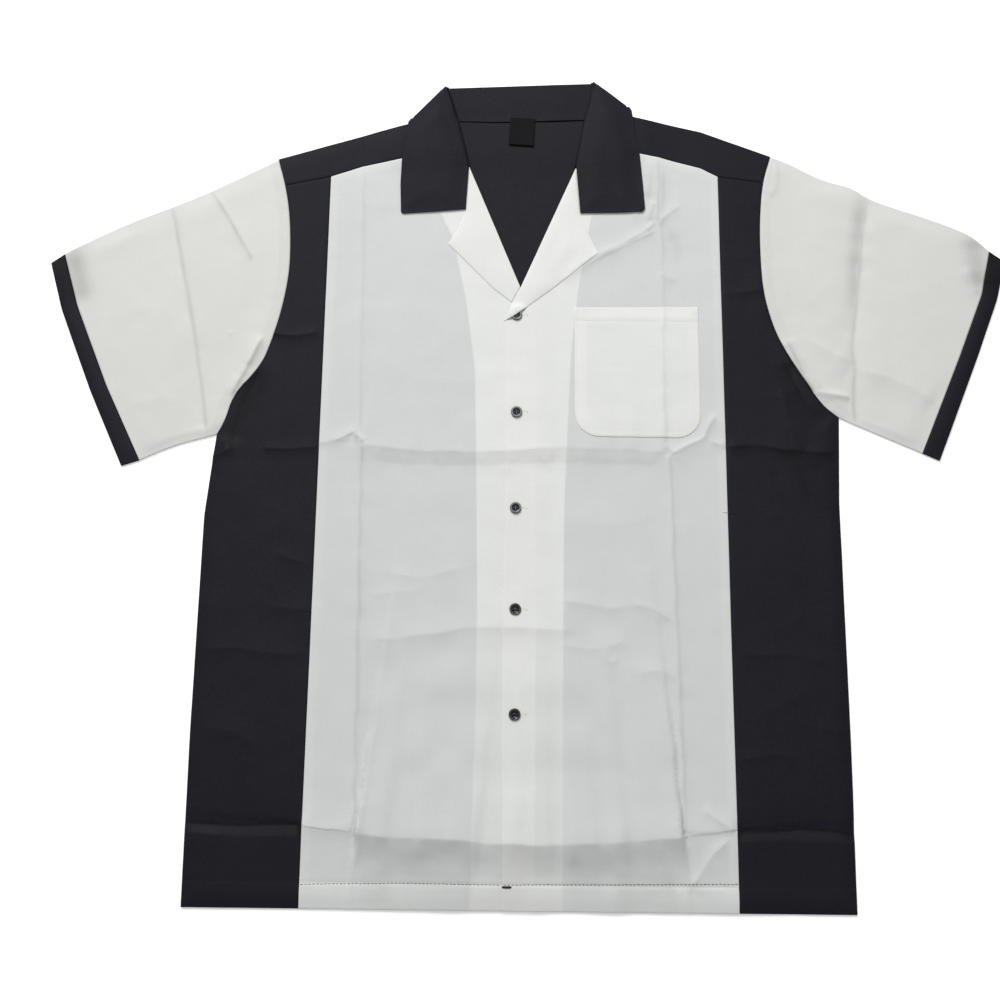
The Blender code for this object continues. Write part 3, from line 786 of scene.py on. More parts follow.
def left_cover(p):
    over = 1 - ease(p[:, 0], UNDERLAP_X - 1.2, UNDERLAP_X + 1.2)
    over = over * (1 - ease(p[:, 1], 178, 190))
    return front_cover(p, "left", FACED * beyond(p, FACING["left"]) + OVERLAPPED * over)


print("facing is", round(area_of(ring_of(FACING["left"], [(-18, HEM_Y), (-18, 330)])) / 100),
      "square cm on the left")

# %% The two fronts
V_RIGHT = [(-59, 361), (UNDERLAP_X, 184)]
V_LEFT = [(55, 361), (-3, 225), (-12, 208), (-15.5, 196), (-20.5, 187)]
PLACKET = [(-20.5, 187), (-17.5, 150), (-17, 20), (-18.3, -100), (-18, -250), (-16.5, -350), (-16, HEM_Y)]
shared = beside(BODY_CREASES)
edge_rows = [rows_beside(run, (-1.1, -0.3, 0.3, 1.1)) for run in FACING.values()]
edge_rows += [rows_beside([(-PANEL_X, HEM_LINE), (PANEL_X, HEM_LINE)], (-2.2, -0.8, 0, 0.8, 2.2)),
              rows_beside([(UNDERLAP_X, 178), (UNDERLAP_X, HEM_Y)], (-1.2, 1.2))]
outline["front_right"] = ring_of(YOKE_SEAM["right"][1:], V_RIGHT, [(UNDERLAP_X, HEM_Y), (-PANEL_X, HEM_Y)])
front_right = cloth("front_right", inset(outline["front_right"], HALF_SEAM), front_under, WHITE,
                    rows=shared + edge_rows, cover=right_cover, creases=BODY_CREASES)
ring = ring_of(YOKE_SEAM["left"][1:], V_LEFT, soft(PLACKET, 6)[1:], [(PANEL_X, HEM_Y)])
front_left = cloth("front_left", inset(ring, HALF_SEAM), left_under, WHITE,
                   rows=shared + edge_rows, cover=left_cover, creases=BODY_CREASES)

# %% [markdown]
# ## Lapels
# Above the first button the fronts fold back on themselves along the neck edge, and the
# inside of the facing shows as the lapel. A fold is never quite flat: the cloth rises
# off the front behind the roll and comes down to its free edges. So the lapel's height
# is a soft hump, which is nothing at its edges and rounds over into the fold.

# %% The two lapels
LAPEL = {
    "right": [(-58.6, 361), (-3.4, 225.6), (-12, 208.5), (-31, 223), (-67, 260), (-79.5, 272.5), (-69, 290),
              (-61.2, 311)],
    "left": [(54.6, 361), (-3, 225), (-12, 208), (-15.5, 196), (-20.5, 187), (-11, 192), (-1, 199.5),
             (30, 223.5),
             (61, 249.5), (77.5, 263.5), (68, 285), (58.6, 308)],
}
ROLL = {"right": [(-58.6, 361), (-3.4, 225.6)], "left": V_LEFT}


def lapel_under(side):
    below = front_under if side == "right" else left_under
    ring = np.array(LAPEL[side])

    def under(p):
        rolled = distance(p, ROLL[side])[0]
        free = distance(p, ring, closed=True)[0]
        hump = 0.9 * ease(rolled, 0, 26) * ease(free, 0, 40) + 0.4 * ease(rolled, 0, 3) * ease(free, 0, 8)
        high = below(p) + WALL + 0.06 + hump + 0.2 * swell(p, 26, 31) * ease(free, 0, 9)
        if side == "left":
            reach = np.hypot(p[:, 0] - BUTTON_X, p[:, 1] - BUTTON_TOP_Y)
            high = high + 2.1 * (1 - ease(reach, 5.8, 14))
        return high
    return under


for side, _ in SIDES:
    made["lapel_" + side] = cloth("lapel_" + side, ring_of(LAPEL[side]), lapel_under(side), WHITE, pitch=2.2,
                                  cover=lambda p: np.full(len(p), 0.80), turn=0.8)

# %% [markdown]
# ## The chest pocket
# The patch pocket has a deep hem at its top, stitched across, and its sides and rounded
# bottom are turned in and pressed before it is sewn on. All of that shows through as a
# bright border. It lies on the left front and takes the creases of what is under it.

# %% The pocket
def pocket_ring(turned=0.0):
    left, right, top, bottom, corner = 53 + turned, 180.5 - turned, 206, 65 + turned, 25 - 0.4 * turned
    points = [(left, top - 3), (right, top - 1)]
    for cx, start in ((right - corner, 0), (left + corner, -90)):
        for angle in range(0, 91, 10):
            turn = math.radians(start - angle)
            points.append((cx + corner * math.cos(turn), bottom + corner + corner * math.sin(turn)))
    return ring_of(points)


def pocket_cover(p):
    off, side, _ = distance(p, pocket_ring(12.0), closed=True)
    border = ease(-side * off, -0.9, 0.9)
    top = ease(p[:, 1], 188.2, 189.8)
    return 0.46 + 0.40 * np.maximum(border, top)


def pocket_under(p):
    off = distance(p, pocket_ring(), closed=True)[0]
    dent = 0.25 * np.exp(-(((p[:, 1] - 189) / 1.3) ** 2))
    puffed = 0.6 * ease(off, 1, 14) + 0.25 * swell(p, 40, 21) * ease(off, 0, 8)
    return left_under(p) + WALL + 0.05 + puffed + 0.5 * ramp(p[:, 1], 180, 206) - dent


rows = [inset(even_ring(pocket_ring(12.0), 3), by) for by in (-0.9, 0.9)]
rows += [rows_beside([(54, 189), (180, 189)], (-1, 0, 1)), *shared]
pocket = cloth("pocket", pocket_ring(), pocket_under, WHITE, pitch=2.8, rows=rows, cover=pocket_cover,
               creases=BODY_CREASES)

# %% [markdown]
# ## The collar
# A camp collar is one band. Its stand shows inside the back of the neck, it folds along
# the top, its fall goes down behind the back, and at the shoulders it comes round to the
# front as two leaves. It is modelled as the middle of the cloth, in flat parts joined by
# half rounds along each fold, and a Solidify modifier gives it its wall.

# %% Parts of the collar
CORNER = {"right": (-86.8, 453.4), "left": (75.2, 461.2)}
OUTER = {"right": (-123.6, 413.0), "left": (113.4, 429.0)}
LEAF = {
    "right": [(-121.7, 415), (-124.3, 411.5), (-127.5, 394), (-130, 372), (-131, 340), (-129.6, 308),
              (-127, 306.4),
              (-95, 309), (-61.6, 312), (-59, 361), (-72, 414)],
    "left": [(111.5, 431), (114.2, 427), (118, 402), (122, 379), (125, 345), (127, 314), (124, 310.7),
             (92, 309.6),
             (59, 308.7), (55, 361), (64.5, 416), (71.5, 442)],
}
LEAF_ROLL = {"right": LEAF["right"][-2:], "left": LEAF["left"][-3:]}    # where each leaf folds
COLLAR_WALL = 0.9


def leaf_level(side):
    edge = np.array([CORNER[side], OUTER[side]] + LEAF[side])
    rolled_from = LEAF_ROLL[side] + [CORNER[side]]

    def level(p):
        free = distance(p, edge, closed=True)[0]
        roll = distance(p, rolled_from)[0]
        body = np.maximum(LAYER + SPACE + fall_lift(p) + rolling(p), front_under(p))
        hump = 1.6 * ease(free, 0, 24) + 0.9 * np.sqrt(1 - (1 - ramp(roll, 0, 4)) ** 2)
        return body + WALL + COLLAR_WALL / 2 + 0.15 + hump + 0.35 * swell(p, 38, 41)
    return level


def fall_level(p):
    return np.full(len(p), COLLAR_WALL / 2)


def stand_level(p):
    rise = 0.45 * swell(p, 42, 44) + 0.5 * np.exp(-(((p[:, 1] - 418) / 4) ** 2)) * ramp(p[:, 0], 8, 30)
    return 2.3 + 0.6 * ease(p[:, 1], 416, 440) + rise


class Folded:
    """Collects flat parts and the half rounds between them as one surface."""

    def __init__(self):
        self.points, self.faces, self.size = [], [], 0

    def part(self, ring, level, pitch=3.0, flip=False):
        plan, faces = triangulate(np.asarray(ring, float), pitch)
        self.points.append(raised(plan, level))
        self.faces += [tuple(int(i) + self.size for i in f) for f in (faces[:, ::-1] if flip else faces)]
        self.size += len(plan)

    def fold(self, base, out, low, high, turns=8):
        """A half round that bulges outwards, from the level low to the level high, beside each base point."""
        base, out, low, high = (np.asarray(v, float) for v in (base, out, low, high))
        radius, middle = (high - low) / 2, (high + low) / 2
        for a in np.linspace(math.pi / 2, -math.pi / 2, turns + 1):
            ring = np.column_stack([base + out * (radius * math.cos(a))[:, None],
                                    middle + radius * math.sin(a)])
            self.points.append(ring)
        n = len(base)
        self.faces += [tuple(self.size + v for v in (j * n + i, j * n + i + 1, (j + 1) * n + i + 1,
                                                     (j + 1) * n + i))
                       for j in range(turns) for i in range(n - 1)]
        self.size += n * (turns + 1)


def even_run(run, pitch=3.0):
    """Points at an even pitch along each side of a run, the same as on a ring."""
    run = np.asarray(run, float)
    return np.vstack([*(evenly(a, b, pitch) for a, b in zip(run, run[1:])), run[-1:]])


print("collar leaf is", round(math.dist((-61.6, 312), (-129, 306.5))), "mm wide at its lower edge")

# %% The collar in one cloth
parts = Folded()
right, left = np.array(CORNER["right"]), np.array(CORNER["left"])
across = (left - right) / np.linalg.norm(left - right)
up = np.array([-across[1], across[0]])
mitre, ends, outs = {}, {}, {}
for side, sign in SIDES:
    a, b = np.array(CORNER[side]), np.array(OUTER[side])
    down = (b - a) / np.linalg.norm(b - a)
    out = np.array([down[1], -down[0]]) * (1 if down[1] * sign > 0 else -1)
    # The corner of the flat part is inside both folds, by the size of each.
    t, _ = np.linalg.solve(np.column_stack([across, -down]), up * 1.6 - out * 2.9)
    mitre[side], ends[side], outs[side] = a - up * 1.6 + across * t, b - down * 6 - out * 2.9, out
fall_ring = ring_of([ends["right"], mitre["right"], mitre["left"], ends["left"], (100, 388), (-108, 388)])
parts.part(fall_ring, fall_level, flip=True)
parts.part(ring_of([mitre["right"], mitre["left"], (66.5, 417.4), (20, 415.4), (-30, 413.9), (-73, 414.4)]),
           stand_level)
base, out, high = [], [], []
for side, sign in SIDES:
    level = leaf_level(side)
    parts.part(ring_of([mitre[side], ends[side]], LEAF[side]), level)
    run = even_run([ends[side], mitre[side]])
    fan = np.linspace(0, 1, 7)
    turned = [(outs[side] * (1 - f) + up * f) / np.linalg.norm(outs[side] * (1 - f) + up * f) for f in fan]
    at = np.array([mitre[side]])
    points = list(run) + [mitre[side]] * 5
    ways = [outs[side]] * len(run) + turned[1:-1]
    leaf_at, stand_at = level(at)[0], stand_level(at)[0]
    tops = list(level(run)) + [float(leaf_at + (stand_at - leaf_at) * ease(f, 0, 0.5)) for f in fan[1:-1]]
    if side == "right":
        middle = even_run([mitre["right"], mitre["left"]])
        base, out, high = points + list(middle), ways + [up] * len(middle), tops + list(stand_level(middle))
    else:
        base, out, high = base + points[::-1], out + ways[::-1], high + tops[::-1]
    roll = even_run(LEAF_ROLL[side] + [tuple(mitre[side])])
    towards = {"right": (1.0, 0.25), "left": (-1.0, 0.2)}[side]
    parts.fold(roll, np.tile(towards, (len(roll), 1)), fall_lift(roll) + 1.3, level(roll), turns=6)
parts.fold(base, out, np.full(len(base), COLLAR_WALL / 2), high, turns=10)
collar = mesh_from("collar", np.vstack(parts.points), parts.faces, BLACK, {"cover": np.zeros(parts.size)})
collar.modifiers.new("join", "WELD").merge_threshold = 0.00003
wall = collar.modifiers.new("wall", "SOLIDIFY")
wall.thickness, wall.offset = COLLAR_WALL * MM, 0.0
stands_for(collar, "collar")

# %% [markdown]
# ## Sleeves and bands
# A sleeve is a tube: one cloth, folded along the top and sewn under the arm. Laid flat,
# it has two layers and two round edges. Four runs bound it, the armhole, the top, the
# under edge and the band's seam, and a Coons patch fills in between them. The same tube
# makes the bands. The upper layer is puffed a little and has its own creases.

# %% Creases of the sleeves
SLEEVE_CREASES = (
    ([(-331, 331), (-306, 292), (-283, 252)], 0.9, 3, 6, 8, 1.8, 1.7),
    ([(-371, 312), (-353, 235), (-337, 166), (-319, 66)], -1.9, 5, 9, 12, 1.5, 1.9),
    ([(-420, 289), (-421, 262)], 0.6, 4, 5, 10),
    ([(-306, 171), (-296, 173)], 0.5, 3, 4, 4),
    ([(-297, 104), (-280, 138), (-266, 170)], 2.4, 5, 4, 10, 1.8),
    ([(-291, 122), (-279, 140)], -1.6, 4, 4, 5, 0.5),
    ([(-474, 268), (-465, 236), (-454, 200)], -0.8, 14, 12, 16, 2.2, 12.0),
    ([(-318, 70), (-351, 61), (-380, 46)], 0.4, 2, 3, 8),
    ([(-410, 90), (-365, 104), (-345, 96)], 0.5, 18, 14, 20),
    ([(-430, 190), (-380, 200), (-350, 190)], 0.4, 20, 18, 24),
    ([(362, 331), (352, 267), (345, 208), (337, 160), (340, 141), (336, 117), (337, 80)], -2.4, 7, 10, 10, 1.3,
     2.2),
    # A row with no height is painted shade alone, beside the long crease.
    ([(358, 340), (347, 280), (340, 200)], 0.0, 12, 7, 30, 1.5, 8.0),
    ([(270, 172), (283, 140), (296, 114)], 2.2, 5, 5, 8, 1.4),
    ([(296, 114), (313, 113), (335, 110)], 2.4, 4, 5, 5, 0.9),
    ([(285, 178), (310, 160), (338, 148)], 1.5, 14, 10, 18),
    ([(340, 141), (394, 124), (418, 105)], 1.8, 18, 12, 16),
    ([(269, 372), (267, 344), (260, 330)], 1.3, 3, 3, 6, 0.4),
    ([(459, 253), (472, 221)], 1.5, 5, 5, 8, 0.2),
    ([(470, 292), (473, 262), (474, 222)], -0.8, 14, 12, 18, 2.2, 13.0),
    ([(337, 90), (369, 76), (399, 61)], 0.4, 2, 3, 8),
    ([(290, 205), (312, 228), (322, 240)], 0.4, 8, 8, 14),
)
SLEEVE_SEED, SLEEVE_STRAY = 70, 0.4
print(len(SLEEVE_CREASES), "creases on the sleeves")


# %% The tube
def coons(top, under, inner, outer, v, w):
    """Plan points of a four-sided patch. v goes from the top to the under edge, w from inner to outer."""
    v, w = v[:, None], w[:, None]
    a, b, c, d = along(top, w[:, 0]), along(under, w[:, 0]), along(inner, v[:, 0]), along(outer, v[:, 0])
    p = [np.asarray(x, float) for x in (inner[0], inner[-1], outer[0], outer[-1])]
    return ((1 - v) * a + v * b + (1 - w) * c + w * d
            - ((1 - v) * (1 - w) * p[0] + v * (1 - w) * p[1] + (1 - v) * w * p[2] + v * w * p[3]))


def tube(name, edges, across, length, upper, finish, cover=None, seam=0.15, low=0.3, turns=8):
    """A flattened tube of cloth, open at both ends. upper gives the height of its upper layer."""
    v_top = np.linspace(0, 1, across + 1)
    angles = np.pi / 2 - np.pi * np.arange(1, turns) / turns
    skins = {1: [], -1: []}
    shade = []
    for w in np.linspace(0, 1, length + 1):
        flat = coons(*edges, v_top, np.full(across + 1, w))
        span = np.linalg.norm(flat[-1] - flat[0])
        reach = np.linalg.norm(coons(*edges, v_top, np.ones(across + 1))
                           - coons(*edges, v_top, np.zeros(across + 1)), axis=1)
        ww = seam / reach + w * (1 - 2 * seam / reach)
        v = np.clip(v_top, 1.3 / span, 1 - 1.3 / span)
        flat = coons(*edges, v, ww)
        off_fold = np.minimum(v_top, 1 - v_top) * span
        high = np.maximum(upper(flat, w), low + 1.5 * WALL)
        high = high - (high - low - 1.3) * (1 - ease(off_fold, 0, 24)) ** 2
        ends = []
        for k, other in ((-1, -2), (0, 1)):
            out = flat[k] - flat[other]
            out /= np.linalg.norm(out)
            ends.append((flat[k], out, (high[k] - low) / 2, (high[k] + low) / 2))
        for sign in (1, -1):
            thick = sign * WALL / 2
            ring = [np.column_stack([flat, high + thick])]
            for (at, out, radius, middle), turn in zip(ends, (1, -1)):
                arc = angles if turn == 1 else angles[::-1]
                around = np.array([[*(at + out * (radius + thick) * np.cos(a)),
                                    middle + (radius + thick) * np.sin(a)]
                                   for a in arc])
                ring.append(around)
                if turn == 1:
                    ring.append(np.column_stack([flat[::-1], np.full(across + 1, low) - thick]))
            skins[sign].append(np.vstack(ring))
        shade.append(np.resize(cover(flat, w) if cover else 0.0, across + 1))
    around = len(skins[1][0])
    total = around * (length + 1)
    points = np.vstack(skins[1] + skins[-1])
    i = np.arange(around)
    nxt = (i + 1) % around
    faces = []
    for j in range(length):
        a, b = j * around + i, j * around + nxt
        faces += list(zip(a, b, b + around, a + around))
        faces += list(zip(total + a + around, total + b + around, total + b, total + a))
    last = length * around
    faces += list(zip(nxt, i, total + i, total + nxt))
    faces += list(zip(last + i, last + nxt, total + last + nxt, total + last + i))
    spread = []
    for row in shade:
        spread.append(np.concatenate([row, np.full(turns - 1, row[-1]), row[::-1], np.full(turns - 1, row[0])]))
    values = np.concatenate(spread * 2)
    flat = points[:, :2]
    # The sleeve creases' painted shade, on the upper layer only, goes to the material.
    line = relief(flat, SLEEVE_CREASES, SLEEVE_SEED, line=True, stray=SLEEVE_STRAY)
    line = line * (points[:, 2] > low + WALL)
    faces = [tuple(int(n) for n in f) for f in faces]
    made = mesh_from(name, points, faces, finish, {"cover": values, "mark": line})
    if signed_volume(made) < 0:
        made.data.flip_normals()
    return stands_for(made, name)


def signed_volume(made):
    made.data.calc_loop_triangles()
    p = np.array([v.co for v in made.data.vertices])
    t = np.array([t.vertices for t in made.data.loop_triangles])
    return float(np.einsum("ij,ij->i", p[t[:, 0]], np.cross(p[t[:, 1]], p[t[:, 2]])).sum())


# %% Both sleeves and both bands
def sleeve_upper(side):
    hole_run = soft(ARMHOLE[side], 4.0)

    def upper(p, w):
        off, _, place = distance(p, hole_run)
        pucker = 0.28 * swell(np.column_stack([place, off]), 8, 61) * np.exp(-off / 9)
        puff = 1.4 * ease(off, 20, 80) * (1 - ease(np.full(len(p), w), 0.75, 1.0))
        lower = 1.0 * ease(off, 0, 40)
        creased = relief(p, SLEEVE_CREASES, SLEEVE_SEED, stray=SLEEVE_STRAY)
        return (LAYER + SPACE - lower + WALL / 2 + rolling(p) + pucker + puff + creased
                - 0.3 * np.exp(-off / 1.2))
    return upper


def sleeve_cover(side):
    hole_run = soft(ARMHOLE[side], 4.0)
    under_run = soft(SLEEVE_UNDER[side], 4.0)
    # The wearer's right sleeve, on the lamps' side, gets a higher base than the left: a painted side-to-side
    # shade, not more cloth.
    base = {"right": 0.18, "left": 0.12}[side]
    return lambda p, w: (base - 0.10 * (1 - ease(distance(p, hole_run)[0], 10.5, 12.5))
                         - 0.08 * (1 - ease(distance(p, under_run)[0], 10.0, 11.5)))


def band_upper(p, w):
    """A little puffed, and lower towards the open edge."""
    return (LAYER - 0.55 + WALL / 2 + rolling(p, 0) + 0.5 * math.sin(math.pi * min(1, w * 1.1))
            - 0.9 * max(0.0, w - 0.7))


edges = {}
for side, _ in SIDES:
    top, under = SLEEVE_TOP[side], SLEEVE_UNDER[side]
    edges["sleeve_" + side] = (top, under, ARMHOLE[side], BAND_SEAM[side])
    edges["band_" + side] = ([top[-1], BAND_EDGE[side][0]], [under[-1], BAND_EDGE[side][-1]],
                             BAND_SEAM[side], BAND_EDGE[side])
    seam = tight(BAND_SEAM[side])
    made["sleeve_" + side] = tube("sleeve_" + side, (*(soft(run, 4) for run in edges["sleeve_" + side][:3]),
                                                     seam),
                                  156, 120, sleeve_upper(side), SLEEVE_WHITE, sleeve_cover(side))
    made["band_" + side] = tube("band_" + side, (*edges["band_" + side][:2], seam, tight(BAND_EDGE[side])),
                                104, 12, band_upper, BLACK)

# %% [markdown]
# ## Buttons
# The five buttons are ordinary four-hole shirt buttons: a raised rim, a lighter ring
# inside it that is a painted reflection, fainter on the lower buttons, and a dished
# middle with the holes. A button is turned, so its height depends only on the distance
# from its middle. Rings of points carry that profile, with small rings for the holes,
# and the holes are sunk by the height itself.

# %% The button's profile and its finish
BUTTON_R, HOLE_AT, HOLE_R = 5.7, 1.45, 0.72
BUTTON_AT = [(-7.0, 194.6), (-6.2, 89.9), (-6.3, -9.0), (-5.8, -110.3), (-5.6, -211.6)]
PROFILE = [(0, 1.0), (2.9, 1.0), (3.4, 1.12), (3.75, 1.5), (4.1, 1.78), (4.6, 1.9), (5.0, 1.95), (5.3, 1.85),
           (5.55, 1.55), (5.7, 1.05)]


def gloss(name):
    made, tree, shader = new_finish(name)
    where = tree.nodes.new("ShaderNodeTexCoord")
    fine = node(tree, "ShaderNodeTexNoise", Scale=900.0, Detail=3.0)
    tree.links.new(where.outputs["Object"], fine.inputs["Vector"])
    # On the buttons the cover value is a painted reflection: the ramp turns it from black to a light grey ring.
    ring = node(tree, "ShaderNodeAttribute", attribute_name="cover")
    shade = node(tree, "ShaderNodeValToRGB")
    steps = shade.color_ramp.elements
    steps[0].color, steps[1].color = (0.0035, 0.004, 0.0055, 1), (0.30, 0.33, 0.35, 1)
    mixed = combine(tree, "MULTIPLY_ADD", combine(tree, "SUBTRACT", fine.outputs["Fac"], 0.5), 0.12,
                    ring.outputs["Fac"])
    tree.links.new(mixed, shade.inputs["Fac"])
    tree.links.new(shade.outputs["Color"], shader.inputs["Base Color"])
    worn = combine(tree, "MULTIPLY_ADD", fine.outputs["Fac"], 0.14, 0.12)
    tree.links.new(worn, shader.inputs["Roughness"])
    bumped(tree, fine.outputs["Fac"], Strength=0.1, Distance=0.00005)
    return made


def thread_finish(name, colour, rough=0.7):
    """Twisted sewing thread: a fine wave across it for the ply."""
    made, tree, shader = new_finish(name)
    where = tree.nodes.new("ShaderNodeTexCoord")
    ply = node(tree, "ShaderNodeTexWave", bands_direction="DIAGONAL", Scale=900.0, Distortion=1.0)
    tree.links.new(where.outputs["Object"], ply.inputs["Vector"])
    tinted = node(tree, "ShaderNodeMix", data_type="RGBA")
    tinted.inputs[6].default_value = (*[0.75 * c for c in colour], 1)
    tinted.inputs[7].default_value = (*colour, 1)
    tree.links.new(ply.outputs["Fac"], tinted.inputs[0])
    tree.links.new(tinted.outputs[2], shader.inputs["Base Color"])
    bumped(tree, ply.outputs["Fac"], Strength=0.4, Distance=0.0001)
    fixed(shader, Roughness=rough)
    return made


GLOSS = gloss("black button plastic")
DARK_THREAD = thread_finish("black thread", (0.012, 0.012, 0.016))
WHITE_THREAD = thread_finish("white thread", (0.80, 0.80, 0.77))
print("button profile has", len(PROFILE), "steps")


# %% Five buttons on the placket
def circle(cx, cy, r, count):
    turn = np.arange(count) * 2 * np.pi / count
    return np.stack([cx + r * np.cos(turn), cy + r * np.sin(turn)], 1)


def button(number, painted_reflection):
    """Makes one button, with a reflection painted on its ring as strongly as the second argument says, and
    returns the height of its seat.
    """
    cx, cy = BUTTON_AT[number - 1]
    at = np.array([[cx, cy]])
    base = float(left_under(at)[0]) + WALL + 0.35
    holes = [(cx + sx * HOLE_AT, cy + sy * HOLE_AT) for sx in (-1, 1) for sy in (-1, 1)]
    rim = circle(cx, cy, BUTTON_R, 56)
    inner = [circle(cx, cy, r, 56 if r > 3 else 30) for r, _ in PROFILE[2:-1]] + [circle(cx, cy, 2.5, 24)]
    inner += [circle(hx, hy, r, 14) for hx, hy in holes for r in (HOLE_R, 0.6 * HOLE_R)]
    inner += [circle(hx, hy, HOLE_R + 0.14, 14) for hx, hy in holes] + [at]
    plan, faces = fill(rim, np.vstack(inner))
    r = np.hypot(plan[:, 0] - cx, plan[:, 1] - cy)
    height = np.interp(r, *zip(*PROFILE))
    # The painted reflection: a lighter ring inside the rim and a little on the rim's outer edge.
    ring = painted_reflection * np.exp(-(((r - 4.45) / 0.55) ** 2)) + 0.28 * painted_reflection * ramp(r, 4.9, 5.4)
    for hx, hy in holes:
        near = np.hypot(plan[:, 0] - hx, plan[:, 1] - hy)
        height = height - 0.75 * (1 - ease(near, 0.6 * HOLE_R, HOLE_R + 0.05))
    low = base + 0.28 * ease(r, 4.2, BUTTON_R)
    shell(f"button_{number}", plan, faces, low, base + height, GLOSS, cover=np.concatenate([0 * ring, ring]))
    return base


def strand(path, radius, sides=6):
    """Points and faces of a round thread along a 3-D path, drawn in at its ends."""
    path = np.asarray(path, float)
    ahead = np.gradient(path, axis=0)
    ahead /= np.linalg.norm(ahead, axis=1)[:, None]
    left = np.cross([0, 0, 1.0], ahead)
    left /= np.maximum(np.linalg.norm(left, axis=1), 1e-9)[:, None]
    above = np.cross(ahead, left)
    points, faces = [], []
    for n, (at, one, two) in enumerate(zip(path, left, above)):
        r = radius * (0.35 if n in (0, len(path) - 1) else 1.0)
        for s in range(sides):
            turn = 2 * math.pi * s / sides
            points.append(at + r * (math.cos(turn) * one + math.sin(turn) * two))
    for n in range(len(path) - 1):
        for s in range(sides):
            a, b = n * sides + s, n * sides + (s + 1) % sides
            faces.append((a, b, b + sides, a + sides))
    faces += [tuple(range(sides))[::-1], tuple(range(len(points) - sides, len(points)))]
    return points, faces


def threads_mesh(name, paths, radius, finish, slot, sides=6):
    """Many strands as one piece."""
    points, faces = [], []
    for path in paths:
        more, skin = strand(path, radius, sides)
        faces += [tuple(i + len(points) for i in f) for f in skin]
        points += more
    made = mesh_from(name, points, faces, finish, {"cover": np.zeros(len(points))})
    return stands_for(made, None, slot)


# The painted reflection is strong on the upper buttons and faint on the two lowest.
bases = [button(n + 1, painted_reflection) for n, painted_reflection in enumerate((1.0, 0.95, 0.8, 0.22, 0.16))]

# %% [markdown]
# ## Thread
# Thread is small but it is what makes cloth look sewn: a dark row along the hem, pale
# rows round the pocket, the purl round each buttonhole, and the loops in the buttons.
# A row is many short strands that dip into the cloth at their ends.

# %% Rows of stitches
def stitch_row(run, top, length=2.6, gap=0.9, lift=0.10, seed=7):
    """Stitches along a run, each a short arch on the surface top."""
    run = np.asarray(run, float)
    total = length_of(run)
    count = int(total // (length + gap))
    wander = np.random.default_rng(seed).normal(0, 0.10, (count, 2))
    paths = []
    for n in range(count):
        start = (n + 0.5) * total / count - length / 2
        share = np.clip((start + np.linspace(0, length, 5)) / total, 0, 1)
        paths.append(raised(along(run, share) + wander[n], top, [-0.12, lift, lift + 0.06, lift, -0.12]))
    return paths


def left_top(p):
    return left_under(p) + WALL


def front_top(p):
    return np.where((p[:, 0] > -16.5), left_under(p), front_under(p)) + WALL


def dark_threads(name, paths, radius=0.24, sides=6):
    return threads_mesh(name, paths, radius, DARK_THREAD, "black_cloth", sides)


def pale_threads(name, paths, radius=0.17, sides=6):
    return threads_mesh(name, paths, radius, WHITE_THREAD, "white_cloth", sides)


y = HEM_LINE
long_gap = dict(length=2.9, gap=0.7)
white_hem = stitch_row([(-204, y - 1.5), (-111, y + 0.5), (-18, y)], front_top, seed=8, **long_gap)
white_hem += stitch_row([(-15, y), (94, y + 1.5), (204, y + 3)], front_top, seed=9, **long_gap)
hem_white = dark_threads("hem_stitches", white_hem)
black_hem = stitch_row([(-313, y), (-206, y - 3)], front_top, seed=10)
black_hem += stitch_row([(206, y + 2), (313, y)], front_top, seed=11)
hem_black = dark_threads("side_hem_stitches", black_hem)
under_hem = [np.column_stack([p[:, :2], 0.03 - 0.5 * (p[:, 2] - p[0, 2])])
             for p in stitch_row([(-313, y), (313, y)], lambda q: np.zeros(len(q)), seed=12, **long_gap)]
hem_back = dark_threads("back_hem_stitches", under_hem)

# %% The bar tack at the foot of the placket, pocket rows and collar rows
tack = []
for n in range(7):
    flat = [(-16.0 + s, HEM_LINE - 2.6 + 0.24 * n + 0.1 * (n % 2)) for s in (0.0, 2.2, 4.6, 6.8, 9.0)]
    tack.append(raised(flat, left_top, [-0.05, 0.3, 0.35, 0.3, -0.05]))
foot_tack = dark_threads("placket_tack", tack, 0.3)


def pocket_top(p):
    return pocket_under(p) + WALL


border = inset(even_ring(pocket_ring(), 4), 1.6)
border = np.roll(border, -int(np.argmin(np.abs(border[:, 0] - 54.6) - 0.01 * border[:, 1])), axis=0)
pocket_rows = stitch_row(np.vstack([border, border[:1]]), pocket_top, 2.2, 0.8, lift=0.02)
pocket_rows += stitch_row([(55, 189), (179, 189)], pocket_top, 2.2, 0.8, lift=0.02, seed=15)
pocket_stitches = pale_threads("pocket_stitches", pocket_rows)

LEAF_ROWS = {
    "right": [(-118, 412), (-124.5, 372), (-124, 313.5), (-64.5, 317)],
    "left": [(110, 424), (116.8, 372), (120.5, 315.5), (62, 314)],
}
collar_rows = []
for side, run in LEAF_ROWS.items():
    leaf = leaf_level(side)
    collar_rows += stitch_row(run, lambda q: leaf(q) + COLLAR_WALL / 2, 2.4, 0.8, lift=0.04)
collar_stitches = dark_threads("collar_stitches", collar_rows, 0.17)

